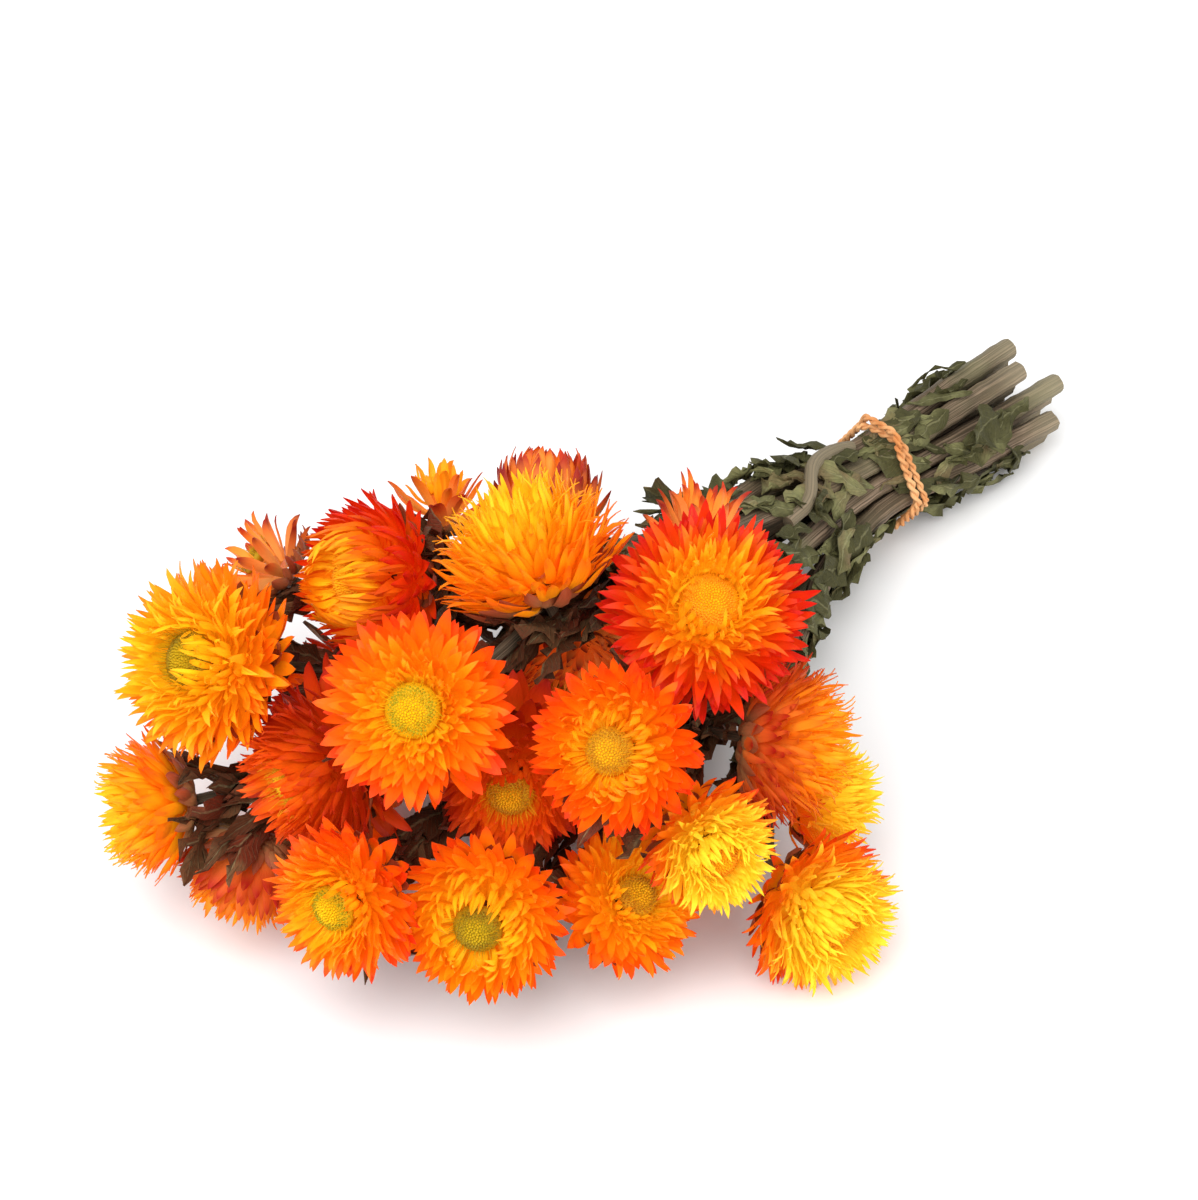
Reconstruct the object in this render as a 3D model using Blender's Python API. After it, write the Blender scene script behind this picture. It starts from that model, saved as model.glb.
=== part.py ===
"""A tied bunch of dried strawflowers, lying on its side.

X runs along the bunch towards the cut ends of the stems, the blooms lie at -X, and Z is up.
The origin is on the surface that the bunch lies on, under the middle of its box.
Sizes in the tables are millimetres, counted from the point on the surface under the tie.
"""
import itertools
import math
import random

import bmesh
import bpy
import numpy as np
from mathutils import Vector

MM = 0.001
SEAT_GAP = 0.35
UNDER_TIE = np.array((98.3, 2.4, 0.0))
SEED = 11

# Blooms: place of the head's middle, the way it faces (yaw and pitch in degrees), radius,
# form, colour, and whether the middle shows a disc.
BLOOMS = {
    "bloom_01": ((-238, 60, 84), 170, 39, 29, "open", "yellow", True),
    "bloom_02": ((-226, -10, 104), -148, 45, 27, "open", "orange", True),
    "bloom_03": ((-163, 6, 102), 80, 55, 28.5, "dome", "yellow", True),
    "bloom_04": ((-143, -40, 100), -129, 61, 30, "open", "red", True),
    "bloom_05": ((-197, -55, 98), -156, 40, 24, "open", "orange", True),
    "bloom_06": ((-180, 50, 82), 165, 23, 26, "dome", "red", True),
    "bloom_07": ((-187, 89, 66), 112, 26, 19, "spent", "rust", True),
    "bloom_08": ((-138, 67, 68), 50, 49, 18, "cup", "orange", True),
    "bloom_09": ((-116, 46, 66), 34, 53, 20, "bud", "rust", False),
    "bloom_10": ((-255, -9, 52), -171, 18, 24, "open", "orange", True),
    "bloom_11": ((-233, -39, 48), -150, 26, 24.5, "open", "orange", True),
    "bloom_12": ((-193, -56, 34), -90, 55, 22, "open", "orange", True),
    "bloom_13": ((-181, -74, 62), -113, 12, 20, "dome", "yellow", True),
    "bloom_14": ((-152, -90, 23), -102, 8, 24.5, "dome", "yellow", True),
    "bloom_15": ((-139, -63, 62), -57, 2, 25, "dome", "orange", True),
    "bloom_16": ((-127, -70, 34), -60, 23, 19.5, "dome", "yellow", True),
    "bloom_17": ((-260, 59, 44), 144, -2, 22.5, "cup", "yellow", True),
    "bloom_18": ((-250, 37, 30), -179, -58, 21, "cup", "orange", True),
    "bloom_19": ((-234, 21, 66), 170, 5, 25, "dome", "orange", True),
    "bloom_20": ((-198, -18, 63), -143, 13, 24, "dome", "red", True),
    "bloom_21": ((-153, -1, 63), -156, -15, 20, "cup", "rust", True),
    "bloom_22": ((-103, -4, 77), 33, 59, 18, "bud", "rust", False),
    "bloom_23": ((-190, 64, 34), 150, 40, 17, "bud", "red", False),
    "bloom_24": ((-156, -34, 14), -80, -35, 21, "cup", "orange", True),
    "bloom_25": ((-212, 42, 14), 165, -40, 21, "cup", "orange", True),
}

# A form lists the rings of bracts from the stem up. Each ring gives the radius and height of
# its tips, of the valleys between them, and of the fold above it, in parts of the radius.
FORMS = {
    "open": {
        "rings": (
            ((0.46, 0.04), (0.36, 0.05), (0.30, 0.10)),
            ((1.00, 0.16), (0.76, 0.20), (0.52, 0.28)),
            ((0.95, 0.40), (0.70, 0.38), (0.46, 0.41)),
            ((0.76, 0.58), (0.57, 0.52), (0.38, 0.50)),
            ((0.53, 0.68), (0.42, 0.60), (0.28, 0.54)),
        ),
        "floor": 0.43,
    },
    "dome": {
        "rings": (
            ((0.46, 0.05), (0.36, 0.06), (0.30, 0.12)),
            ((1.00, 0.26), (0.76, 0.28), (0.54, 0.34)),
            ((0.90, 0.52), (0.68, 0.48), (0.48, 0.50)),
            ((0.72, 0.73), (0.54, 0.65), (0.38, 0.62)),
            ((0.46, 0.82), (0.37, 0.74), (0.25, 0.66)),
        ),
        "floor": 0.55,
    },
    "cup": {
        "rings": (
            ((0.44, 0.08), (0.35, 0.09), (0.30, 0.15)),
            ((1.00, 0.40), (0.74, 0.36), (0.52, 0.40)),
            ((0.84, 0.64), (0.62, 0.54), (0.44, 0.54)),
            ((0.60, 0.82), (0.45, 0.72), (0.29, 0.64)),
        ),
        "floor": 0.53,
    },
    "spent": {
        "rings": (
            ((0.46, 0.06), (0.32, 0.08), (0.28, 0.14)),
            ((1.00, 0.24), (0.50, 0.26), (0.38, 0.32)),
            ((0.84, 0.60), (0.44, 0.46), (0.34, 0.46)),
            ((0.50, 0.78), (0.38, 0.62), (0.26, 0.54)),
        ),
        "floor": 0.43,
    },
    "bud": {
        "rings": (
            ((0.44, 0.10), (0.35, 0.11), (0.29, 0.18)),
            ((0.94, 0.60), (0.62, 0.46), (0.46, 0.48)),
            ((0.72, 0.88), (0.50, 0.72), (0.36, 0.68)),
            ((0.42, 1.00), (0.33, 0.86), (0.16, 0.82)),
        ),
        "floor": None,
    },
}
BASE_RADIUS = 0.19
HEAD_MIDDLE = 0.26
HEAD_DEPTH = 1.2
HEAD_CORE = 0.44
TIP_SCATTER = 0.05
FLORETS = 10

# Stems: place in the bundle at the tie, length past the tie, and the blooms they carry. The
# first bloom ends the stem itself, and the others are on branches.
STEMS = {
    "stem_01": ((-4, 10.4), 66, ("bloom_02", "bloom_04")),
    "stem_02": ((4, 10.4), 74, ("bloom_03", "bloom_22")),
    "stem_03": ((-8, 3.5), 80, ("bloom_05", "bloom_13")),
    "stem_04": ((0, 3.5), 68, ("bloom_19", "bloom_21")),
    "stem_05": ((8, 3.5), 78, ("bloom_01", "bloom_06")),
    "stem_06": ((-12, -3.5), 72, ("bloom_14", "bloom_15")),
    "stem_07": ((-4, -3.5), 82, ("bloom_11", "bloom_20")),
    "stem_08": ((4, -3.5), 70, ("bloom_10", "bloom_23")),
    "stem_09": ((12, -3.5), 76, ("bloom_07", "bloom_08", "bloom_09")),
    "stem_10": ((-8, -10.4), 74, ("bloom_12", "bloom_16")),
    "stem_11": ((0, -10.4), 84, ("bloom_18", "bloom_24")),
    "stem_12": ((8, -10.4), 71, ("bloom_17", "bloom_25")),
}
TIE_MIDDLE = np.array((0.0, 11.0, 25.0))
CUT_MIDDLE = np.array((76.0, 8.0, 16.0))
BUNDLE_WAY = (CUT_MIDDLE - TIE_MIDDLE) / (CUT_MIDDLE - TIE_MIDDLE)[0]
CUT_SPREAD = 0.32
MOUTH_REACH = 42.0
MOUTH_SPREAD = 0.55
HELD_PAST_TIE = 14.0
HELD_BEFORE_TIE = 12.0
NECK_LENGTH = 3.0
EASING_ROUNDS = 220
STEM_CLEARANCE = 0.9
STEM_POINTS = 8
BRANCH_POINTS = 6
STEM_RADIUS = 3.5
NECK_RADIUS = 1.5
BRANCH_RADIUS = 1.7
STEM_SIDES = 6
BRANCH_SIDES = 5

# The tie: a twisted four-cornered band wound twice round the stems, in quarter twists. It
# wanders along the bundle, and rises over itself where it crosses at the top.
BAND_RADIUS = 1.3
BAND_STEPS = 56
BAND_TWISTS = 14
BAND_WANDER = 3.6
BAND_X = 3.0
BAND_OVER = 3.1
BAND_OVER_WIDTH = 0.75

# Leaves: length, half width and thickness of the dried blades.
LEAF_LENGTH = 40.0
LEAF_HALF = 5.2
LEAF_THICK = 0.8
LEAF_WIDTHS = (0.22, 0.85, 1.0, 0.66)
LEAF_ARCH = 0.07
LEAF_TROUGH = 0.30
LEAF_ROOT_SUNK = 1.0
LEAF_CLEARANCE = 0.9
LEAF_LIFTS = (8, 14, 20, 28, 38, 50)
LEAF_ROLLS = (0, 12, -12, 25, -25, 40, -40)
TIE_KEEP = 12.0
LEAF_ROOTS = {
    "stem_01": (54, 30, -10, -38),
    "stem_02": (58, -14, -46, -66),
    "stem_03": (62, 36, -10, -40),
    "stem_05": (56, -12, -42, -70),
    "stem_06": (58, 34, -12, -44),
    "stem_09": (60, 36, -8, -36, -66),
    "stem_10": (34, -16, -50),
    "stem_11": (30, -10, -44),
    "stem_12": (36, -14, -46),
}

COLOURS = {
    "yellow": (0.90, 0.42, 0.02),
    "orange": (0.88, 0.20, 0.01),
    "red": (0.72, 0.05, 0.01),
    "rust": (0.50, 0.10, 0.03),
    "disc": (0.62, 0.40, 0.03),
    "stem": (0.20, 0.19, 0.09),
    "tie": (0.72, 0.35, 0.14),
}


def clear_scene():
    for item in list(bpy.data.objects):
        bpy.data.objects.remove(item, do_unlink=True)


def finish_of(colour):
    """The Principled material of one colour, made on first use."""
    name = f"dried_{colour}"
    found = bpy.data.materials.get(name)
    if found:
        return found
    made = bpy.data.materials.new(name)
    made.use_nodes = True
    shader = made.node_tree.nodes["Principled BSDF"]
    shader.inputs["Base Color"].default_value = (*COLOURS[colour], 1.0)
    shader.inputs["Roughness"].default_value = 0.6
    shader.inputs["Metallic"].default_value = 0.0
    return made


def add_solid(name, points, faces, colour):
    """One closed solid from points in millimetres and the faces between them."""
    shape = bmesh.new()
    corners = [shape.verts.new(Vector(tuple(point)) * MM) for point in points]
    for face in faces:
        shape.faces.new([corners[index] for index in face])
    bmesh.ops.triangulate(shape, faces=shape.faces[:])
    bmesh.ops.recalc_face_normals(shape, faces=shape.faces[:])
    mesh = bpy.data.meshes.new(name)
    shape.to_mesh(mesh)
    shape.free()
    mesh.materials.append(finish_of(colour))
    solid = bpy.data.objects.new(name, mesh)
    bpy.context.collection.objects.link(solid)
    return solid


def unit(vector):
    vector = np.asarray(vector, dtype=float)
    return vector / np.linalg.norm(vector)


def facing(yaw, pitch):
    turn, rise = math.radians(yaw), math.radians(pitch)
    return np.array((math.cos(turn) * math.cos(rise), math.sin(turn) * math.cos(rise), math.sin(rise)))


def square_to(axis):
    """Two directions square to an axis and to each other."""
    helper = (0.0, 0.0, 1.0) if abs(axis[2]) < 0.9 else (1.0, 0.0, 0.0)
    side = unit(np.cross(helper, axis))
    return side, np.cross(axis, side)


class Head:
    """The place, size and facing of one bloom."""

    def __init__(self, name):
        place, yaw, pitch, self.radius, self.form, self.colour, self.has_disc = BLOOMS[name]
        self.name = name
        self.axis = facing(yaw, pitch)
        self.base = np.array(place, dtype=float) - HEAD_MIDDLE * self.radius * self.axis
        self.side, self.rise = square_to(self.axis)
        self.bracts = max(11, round(0.5 * self.radius + 2))
        self.points = None
        self.faces = None

    def at(self, reach, height, turn):
        across = math.cos(turn) * self.side + math.sin(turn) * self.rise
        return self.base + self.radius * (reach * across + height * HEAD_DEPTH * self.axis)


def model_bracts(head, chance):
    """The layered bracts of a bloom as one closed body, each ring set between the last one's tips."""
    form = FORMS[head.form]
    count = head.bracts
    step = math.pi / count
    start = chance.uniform(0.0, math.tau)
    points = []
    faces = []

    def ring(reach, height, offset, scatter=0.0):
        first = len(points)
        for index in range(count):
            wide = 1.0 + scatter * chance.uniform(-1.6, 1.0)
            lift = scatter * chance.uniform(-0.7, 0.7)
            points.append(head.at(reach * wide, height + lift, start + step * (2 * index + offset)))
        return [first + index for index in range(count)]

    below = ring(BASE_RADIUS, 0.0, 0)
    centre = len(points)
    points.append(head.at(0.0, 0.0, 0.0))
    for index in range(count):
        faces.append((centre, below[(index + 1) % count], below[index]))
    for layer, (tip, valley, fold) in enumerate(form["rings"]):
        scatter = TIP_SCATTER if layer else 0.02
        tips = ring(*tip, layer, scatter)
        valleys = ring(*valley, layer + 1, scatter * 0.4)
        folds = ring(*fold, layer + 1)
        for index in range(count):
            after = (index + 1) % count
            before = index - 1
            faces.append((below[index], valleys[index], tips[index]))
            faces.append((below[index], below[after], valleys[index]))
            faces.append((below[after], tips[after], valleys[index]))
            faces.append((tips[index], valleys[index], folds[index]))
            faces.append((tips[index], folds[index], folds[before]))
            faces.append((tips[index], folds[before], valleys[before]))
        below = folds
    layers = len(form["rings"])
    if form["floor"] is None:
        centre = len(points)
        points.append(head.at(0.0, form["rings"][-1][2][1] + 0.12, 0.0))
    else:
        reach = form["rings"][-1][2][0]
        floor = ring(reach * 0.96, form["floor"], layers)
        for index in range(count):
            after = (index + 1) % count
            faces.append((below[index], below[after], floor[after], floor[index]))
        below = floor
        centre = len(points)
        points.append(head.at(0.0, form["floor"], 0.0))
    for index in range(count):
        faces.append((centre, below[index], below[(index + 1) % count]))
    head.points = np.array(points)
    head.faces = faces


def press_apart(heads):
    """Where two blooms would cross, both are bent back from a plane between them."""
    for one, head in enumerate(heads):
        for other in heads[one + 1:]:
            middle = head.points.mean(axis=0)
            other_middle = other.points.mean(axis=0)
            apart = other_middle - middle
            if np.linalg.norm(apart) > head.radius + other.radius + 4.0:
                continue
            ways = [unit(apart)]
            for axis in (head.axis, -head.axis, other.axis, -other.axis):
                for share in (0.35, 0.7, 1.2, 2.5):
                    way = unit(unit(apart) + share * axis)
                    if way @ unit(apart) > 0.3:
                        ways.append(way)
            depths = [(head.points @ way).max() - (other.points @ way).min() for way in ways]
            best = int(np.argmin(depths))
            if depths[best] < -2 * SEAT_GAP:
                continue
            way = ways[best]
            level = ((head.points @ way).max() + (other.points @ way).min()) / 2
            bend_back(head, middle, way, level - SEAT_GAP)
            bend_back(other, other_middle, -way, -level - SEAT_GAP)


def bend_back(head, middle, way, level):
    """Points past a level along a way are drawn towards the head's middle until they are on it."""
    own = middle @ way
    if own > level - 1.0:
        raise ValueError(f"{head.name} is pressed past its middle")
    for index, point in enumerate(head.points):
        reach = point @ way
        if reach > level:
            head.points[index] = middle + (point - middle) * (level - own) / (reach - own)


def model_disc(head):
    """The disc in the middle of a bloom: a low dome of florets as relief, seated in its well."""
    form = FORMS[head.form]
    reach = form["rings"][-1][2][0] * 0.90 - SEAT_GAP / head.radius
    floor = form["floor"] + SEAT_GAP / head.radius
    top = form["rings"][-1][2][1]
    count = FLORETS
    points = []
    faces = []
    rings = []
    for share, height, relief in ((0.94, floor, 0.0), (1.0, top, 0.02), (0.62, top + 0.07, 0.04)):
        rings.append([len(points) + index for index in range(count)])
        for index in range(count):
            bump = relief if index % 2 else -relief
            points.append(head.at(reach * share, height + bump, math.tau * index / count))
    points.append(head.at(0.0, floor, 0.0))
    points.append(head.at(0.0, top + 0.06, 0.0))
    for index in range(count):
        after = (index + 1) % count
        faces.append((len(points) - 2, rings[0][after], rings[0][index]))
        for low, high in zip(rings, rings[1:]):
            faces.append((low[index], low[after], high[index]))
            faces.append((low[after], high[after], high[index]))
        faces.append((rings[-1][index], rings[-1][after], len(points) - 1))
    return points, faces


def curve(start, pull, reach, end, count):
    """Points on a smooth curve from one place to another, with the ways it leaves and arrives."""
    steps = np.linspace(0.0, 1.0, count)[:, None]
    back = 1.0 - steps
    return (back**3 * start + 3 * back**2 * steps * pull + 3 * back * steps**2 * reach
            + steps**3 * end)


class Route:
    """The middle line of a stem or branch, with its thickness at each point."""

    def __init__(self, stem, head, points, radii, held):
        self.stem = stem
        self.head = head
        self.points = points
        self.radii = radii
        self.held = held


def lay_routes(heads):
    """A main line for each stem and one for each branch, drawn before they are eased apart."""
    routes = []
    for stem, ((across, up), reach, carried) in STEMS.items():
        place = np.array((0.0, across, up))
        tie = TIE_MIDDLE + place
        cut = tie + BUNDLE_WAY * reach + place * CUT_SPREAD
        mouth = tie - BUNDLE_WAY * MOUTH_REACH + place * MOUTH_SPREAD
        held = np.array((cut, (cut + tie) / 2, tie + BUNDLE_WAY * HELD_PAST_TIE,
                         tie - BUNDLE_WAY * HELD_BEFORE_TIE))
        main = np.vstack((held, reach_head(mouth, mouth - tie, heads[carried[0]], STEM_POINTS)))
        taper = STEM_RADIUS - (STEM_RADIUS - NECK_RADIUS) * np.linspace(0.0, 1.0, STEM_POINTS) ** 0.7
        radii = np.concatenate((np.full(len(held), STEM_RADIUS), taper))
        routes.append(Route(stem, carried[0], main, radii, (len(held) + 1, 2)))
        for order, name in enumerate(carried[1:]):
            fork = len(held) + 1 - order
            bend = reach_head(main[fork], main[fork + 1] - main[fork - 1], heads[name], BRANCH_POINTS)
            radii = np.linspace(BRANCH_RADIUS, NECK_RADIUS, BRANCH_POINTS)
            routes.append(Route(stem, name, bend, radii, (1, 2)))
    return routes


def reach_head(start, way, head, count):
    """A curve that leaves one place along a way and comes up to a bloom from behind."""
    neck = head.base - NECK_LENGTH * head.axis
    span = np.linalg.norm(neck - start)
    pull = start + unit(way) * span * 0.35
    return curve(start, pull, neck - head.axis * min(30.0, span * 0.3), neck, count)


def closest(p, q, r, s):
    """For segments p-q and r-s, in rows, the shares along each of their nearest points."""
    d1, d2, w = q - p, s - r, p - r
    a = np.einsum("ij,ij->i", d1, d1) + 1e-9
    e = np.einsum("ij,ij->i", d2, d2) + 1e-9
    b = np.einsum("ij,ij->i", d1, d2)
    c = np.einsum("ij,ij->i", d1, w)
    f = np.einsum("ij,ij->i", d2, w)
    along = np.clip((b * f - c * e) / np.maximum(a * e - b * b, 1e-6), 0.0, 1.0)
    other = np.clip((b * along + f) / e, 0.0, 1.0)
    along = np.clip((b * other - c) / a, 0.0, 1.0)
    return along, other


def ease_apart(routes, heads):
    """Lines are moved, a little at a time, until none meets another stem or a bloom."""
    points = np.vstack([route.points for route in routes])
    radii = np.concatenate([route.radii for route in routes])
    loose = np.ones(len(points))
    starts, owners, shared = [], [], []
    first = 0
    for route in routes:
        count = len(route.points)
        loose[first:first + route.held[0]] = 0.0
        loose[first + count - route.held[1]:first + count] = 0.0
        starts.extend(range(first, first + count - 1))
        owners.extend([(route.stem, route.head)] * (count - 1))
        if route.held[0] == 1:
            main = next(r for r in routes if r.stem == route.stem)
            base = sum(len(r.points) for r in routes[:routes.index(main)])
            nearest = int(np.argmin(np.linalg.norm(main.points - route.points[0], axis=1)))
            shared.append((first, base + nearest))
        first += count
    starts = np.array(starts)
    stem_of = np.array([owner[0] for owner in owners])
    left, right = np.triu_indices(len(starts), 1)
    apart = stem_of[left] != stem_of[right]
    left, right = left[apart], right[apart]
    goal = points.copy()
    for _ in range(EASING_ROUNDS):
        move = np.zeros_like(points)
        a, b = starts[left], starts[right]
        along, other = closest(points[a], points[a + 1], points[b], points[b + 1])
        near = points[a] + (points[a + 1] - points[a]) * along[:, None]
        far = points[b] + (points[b + 1] - points[b]) * other[:, None]
        gap = near - far
        size = np.linalg.norm(gap, axis=1) + 1e-9
        room = (radii[a] * (1 - along) + radii[a + 1] * along
                + radii[b] * (1 - other) + radii[b + 1] * other + STEM_CLEARANCE)
        short = np.maximum(room - size, 0.0)
        hit = short > 0
        push = gap[hit] / size[hit, None] * short[hit, None] * 0.5
        np.add.at(move, a[hit], push * (1 - along[hit])[:, None])
        np.add.at(move, a[hit] + 1, push * along[hit][:, None])
        np.add.at(move, b[hit], -push * (1 - other[hit])[:, None])
        np.add.at(move, b[hit] + 1, -push * other[hit][:, None])
        for head in heads.values():
            keep_out(points, radii, starts, owners, head, move)
        points += move * loose[:, None]
        smooth = np.zeros_like(points)
        inner = (loose > 0)
        inner[0] = inner[-1] = False
        index = np.nonzero(inner)[0]
        smooth[index] = (points[index - 1] + points[index + 1]) / 2 - points[index]
        points += 0.06 * smooth * loose[:, None] + 0.01 * (goal - points) * loose[:, None]
        for child, parent in shared:
            points[child] = points[parent]
    first = 0
    for route in routes:
        route.points = points[first:first + len(route.points)]
        first += len(route.points)


def keep_out(points, radii, starts, owners, head, move):
    """Adds to the moves what keeps the lines outside a bloom's rounded form."""
    centre = head.base + head.axis * head.radius * HEAD_CORE
    for share in (0.0, 0.34, 0.67):
        spot = points[starts] * (1 - share) + points[starts + 1] * share
        thick = radii[starts] * (1 - share) + radii[starts + 1] * share + STEM_CLEARANCE
        away = spot - centre
        height = away @ head.axis
        across = away - height[:, None] * head.axis
        wide = head.radius * 1.03 + thick
        tall = head.radius * 0.62 + thick
        inside = np.sqrt((np.linalg.norm(across, axis=1) / wide) ** 2 + (height / tall) ** 2) + 1e-6
        for index in np.nonzero(inside < 1.0)[0]:
            if owners[index][1] == head.name and height[index] < 0:
                continue
            slope = unit(across[index] / wide[index] ** 2 + height[index] * head.axis / tall[index] ** 2)
            push = slope * (1.0 - inside[index]) * min(wide[index], 2.2 * tall[index]) * 0.5
            move[starts[index]] += push * (1 - share)
            move[starts[index] + 1] += push * share


def tube(points, radii, sides, flare, end_way):
    """A closed round tube along points, kept from twisting, that ends in a flared cup."""
    points = [np.array(point) for point in points]
    radii = list(radii)
    ways = [unit(points[1] - points[0])]
    for before, after in zip(points, points[2:]):
        ways.append(unit(after - before))
    ways += [end_way, end_way]
    points.append(points[-1] + end_way * (NECK_LENGTH - SEAT_GAP))
    radii.append(flare)
    side, _ = square_to(ways[0])
    corners = []
    for point, radius, way in zip(points, radii, ways):
        side = unit(side - way * (side @ way))
        rise = np.cross(way, side)
        for index in range(sides):
            turn = math.tau * index / sides
            corners.append(point + radius * (math.cos(turn) * side + math.sin(turn) * rise))
    faces = [tuple(reversed(range(sides))), tuple(range(len(corners) - sides, len(corners)))]
    for ring in range(len(points) - 1):
        for index in range(sides):
            after = (index + 1) % sides
            low, high = ring * sides, (ring + 1) * sides
            faces.append((low + index, low + after, high + after, high + index))
    return corners, faces


def blade_surface(root, way, out, length, curl):
    """The middle surface of a dried leaf: rows of three points from its root, then its tip."""
    side = unit(np.cross(out, way))
    points = []
    for row, width in enumerate(LEAF_WIDTHS):
        along = row / len(LEAF_WIDTHS)
        middle = root + way * length * along + out * length * LEAF_ARCH * math.sin(math.pi * along)
        half = LEAF_HALF * width
        ripple = curl * half * (-1) ** row * min(row, 1)
        for share in (-1, 0, 1):
            lift = abs(share) * half * LEAF_TROUGH + share * ripple
            points.append(middle + side * half * share + out * lift)
    points.append(root + way * length + out * length * curl * 0.2)
    return np.array(points)


def thicken(points, out):
    """A blade from its middle surface, with the same triangles on both faces."""
    count = len(points)
    faces = []

    def both(*corners):
        faces.append(corners)
        faces.append(tuple(count + index for index in reversed(corners)))

    rows = len(LEAF_WIDTHS)
    for row in range(rows - 1):
        low, high = 3 * row, 3 * row + 3
        for column in range(2):
            both(low + column, low + column + 1, high + column + 1)
            both(low + column, high + column + 1, high + column)
    last = 3 * (rows - 1)
    both(last, last + 1, count - 1)
    both(last + 1, last + 2, count - 1)
    left = list(range(0, last + 1, 3))
    right = list(range(2, last + 3, 3))
    edge = [0, 1] + right + [count - 1] + left[:0:-1]
    for one, after in zip(edge, edge[1:] + edge[:1]):
        faces.append((one, after, after + count))
        faces.append((one, after + count, one + count))
    half = out * LEAF_THICK / 2
    return np.vstack((points + half, points - half)), faces


def place_leaves(routes, heads, chance):
    """The leaves of each outer stem, each rolled and lifted until it is clear of its neighbours."""
    lines = [(route.stem, a, b, ra, rb) for route in routes
             for a, b, ra, rb in zip(route.points, route.points[1:], route.radii, route.radii[1:])]
    stems = np.array([line[0] for line in lines])
    starts = np.array([line[1] for line in lines])
    ends = np.array([line[2] for line in lines])
    thick = np.array([max(line[3:]) for line in lines])
    centres = np.array([head.base + head.axis * head.radius * HEAD_CORE for head in heads.values()])
    sizes = np.array([head.radius for head in heads.values()])
    taken = []
    leaves = {stem: [] for stem in STEMS}
    for stem, roots in LEAF_ROOTS.items():
        main = next(route for route in routes if route.stem == stem)
        across, up = STEMS[stem][0]
        for root_x in roots:
            after = next(i for i, point in enumerate(main.points) if point[0] <= root_x)
            high, low = main.points[after - 1], main.points[after]
            share = (high[0] - root_x) / (high[0] - low[0])
            spot = high + (low - high) * share
            way = unit(low - high)
            radius = main.radii[after - 1]
            outward = np.array((0.0, across, up))
            outward = unit(outward - way * (outward @ way))
            level = np.cross(way, outward)
            length = LEAF_LENGTH * chance.uniform(0.8, 1.1)
            if root_x > 0:
                length = min(length, root_x - TIE_KEEP)
            curl = chance.uniform(0.15, 0.4) * chance.choice((-1, 1))
            for lift, roll in itertools.product(LEAF_LIFTS, LEAF_ROLLS):
                turn, tilt = math.radians(roll), math.radians(lift)
                out = math.cos(turn) * outward + math.sin(turn) * level
                lead = unit(math.cos(tilt) * way + math.sin(tilt) * out)
                face = unit(math.cos(tilt) * out - math.sin(tilt) * way)
                points = blade_surface(spot + out * (radius - LEAF_ROOT_SUNK), lead, face, length, curl)
                room = leaf_room(points, stem, stems, starts, ends, thick, centres, sizes, taken)
                if room > LEAF_CLEARANCE:
                    leaves[stem].append(thicken(points, face))
                    taken.append(spots_on(points))
                    break
    return leaves


def spots_on(points):
    """The points of a blade and the middles between them."""
    middles = [(points[i] + points[i + 1]) / 2 for i in range(len(points) - 1)]
    middles += [(points[i] + points[i + 3]) / 2 for i in range(len(points) - 3)]
    middles += [(points[i] + points[i + 4]) / 2 for i in range(len(points) - 4)]
    return np.vstack((points, middles))


def leaf_room(points, stem, stems, starts, ends, thick, centres, sizes, taken):
    """How far a blade stays clear of other stems, blooms, leaves, the tie and the surface."""
    spots = spots_on(points)
    other = stems != stem
    a, b, r = starts[other], ends[other], thick[other]
    line = b - a
    gap = spots[:, None, :] - a
    share = np.clip(np.einsum("ijk,jk->ij", gap, line) / np.einsum("jk,jk->j", line, line), 0, 1)
    room = (np.linalg.norm(gap - share[..., None] * line, axis=2) - r).min() - LEAF_THICK / 2
    head_gap = np.linalg.norm(spots[:, None, :] - centres, axis=2) - sizes * 1.05
    room = min(room, head_gap.min())
    if len(taken):
        rest = np.vstack(taken)
        room = min(room, np.linalg.norm(spots[:, None, :] - rest, axis=2).min() - 1.6)
    past_tie = spots[3:, 0]
    if (past_tie < TIE_KEEP).any() and (past_tie > -TIE_KEEP * 0.6).any():
        room = -1.0
    return min(room, spots[:, 2].min() - 0.2)


def join_pieces(name, pieces, colour):
    """One closed body from overlapping closed pieces."""
    group = bpy.data.collections.new(name + "_pieces")
    first = add_solid(name, *pieces[0], colour)
    for number, piece in enumerate(pieces[1:]):
        part = add_solid(f"{name}_piece_{number}", *piece, colour)
        bpy.context.collection.objects.unlink(part)
        group.objects.link(part)
    if group.objects:
        joined = first.modifiers.new("join", "BOOLEAN")
        joined.operation = "UNION"
        joined.operand_type = "COLLECTION"
        joined.collection = group
        joined.solver = "EXACT"
        scene_view = bpy.context.evaluated_depsgraph_get()
        mesh = bpy.data.meshes.new_from_object(first.evaluated_get(scene_view))
        first.modifiers.clear()
        first.data = mesh
        mesh.name = name
        for part in list(group.objects):
            bpy.data.objects.remove(part, do_unlink=True)
    bpy.data.collections.remove(group)
    return first


def rest_on_floor(solid):
    """What would reach below the surface is cut flat on it."""
    shape = bmesh.new()
    shape.from_mesh(solid.data)
    if min(corner.co.z for corner in shape.verts) < 0.0:
        everything = shape.verts[:] + shape.edges[:] + shape.faces[:]
        cut = bmesh.ops.bisect_plane(shape, geom=everything, dist=1e-6, plane_co=(0, 0, 0),
                                     plane_no=(0, 0, -1), clear_outer=True)
        rim = [item for item in cut["geom_cut"] if isinstance(item, bmesh.types.BMEdge)]
        bmesh.ops.contextual_create(shape, geom=rim)
        bmesh.ops.triangulate(shape, faces=shape.faces[:])
        bmesh.ops.recalc_face_normals(shape, faces=shape.faces[:])
        shape.to_mesh(solid.data)
    shape.free()


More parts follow.
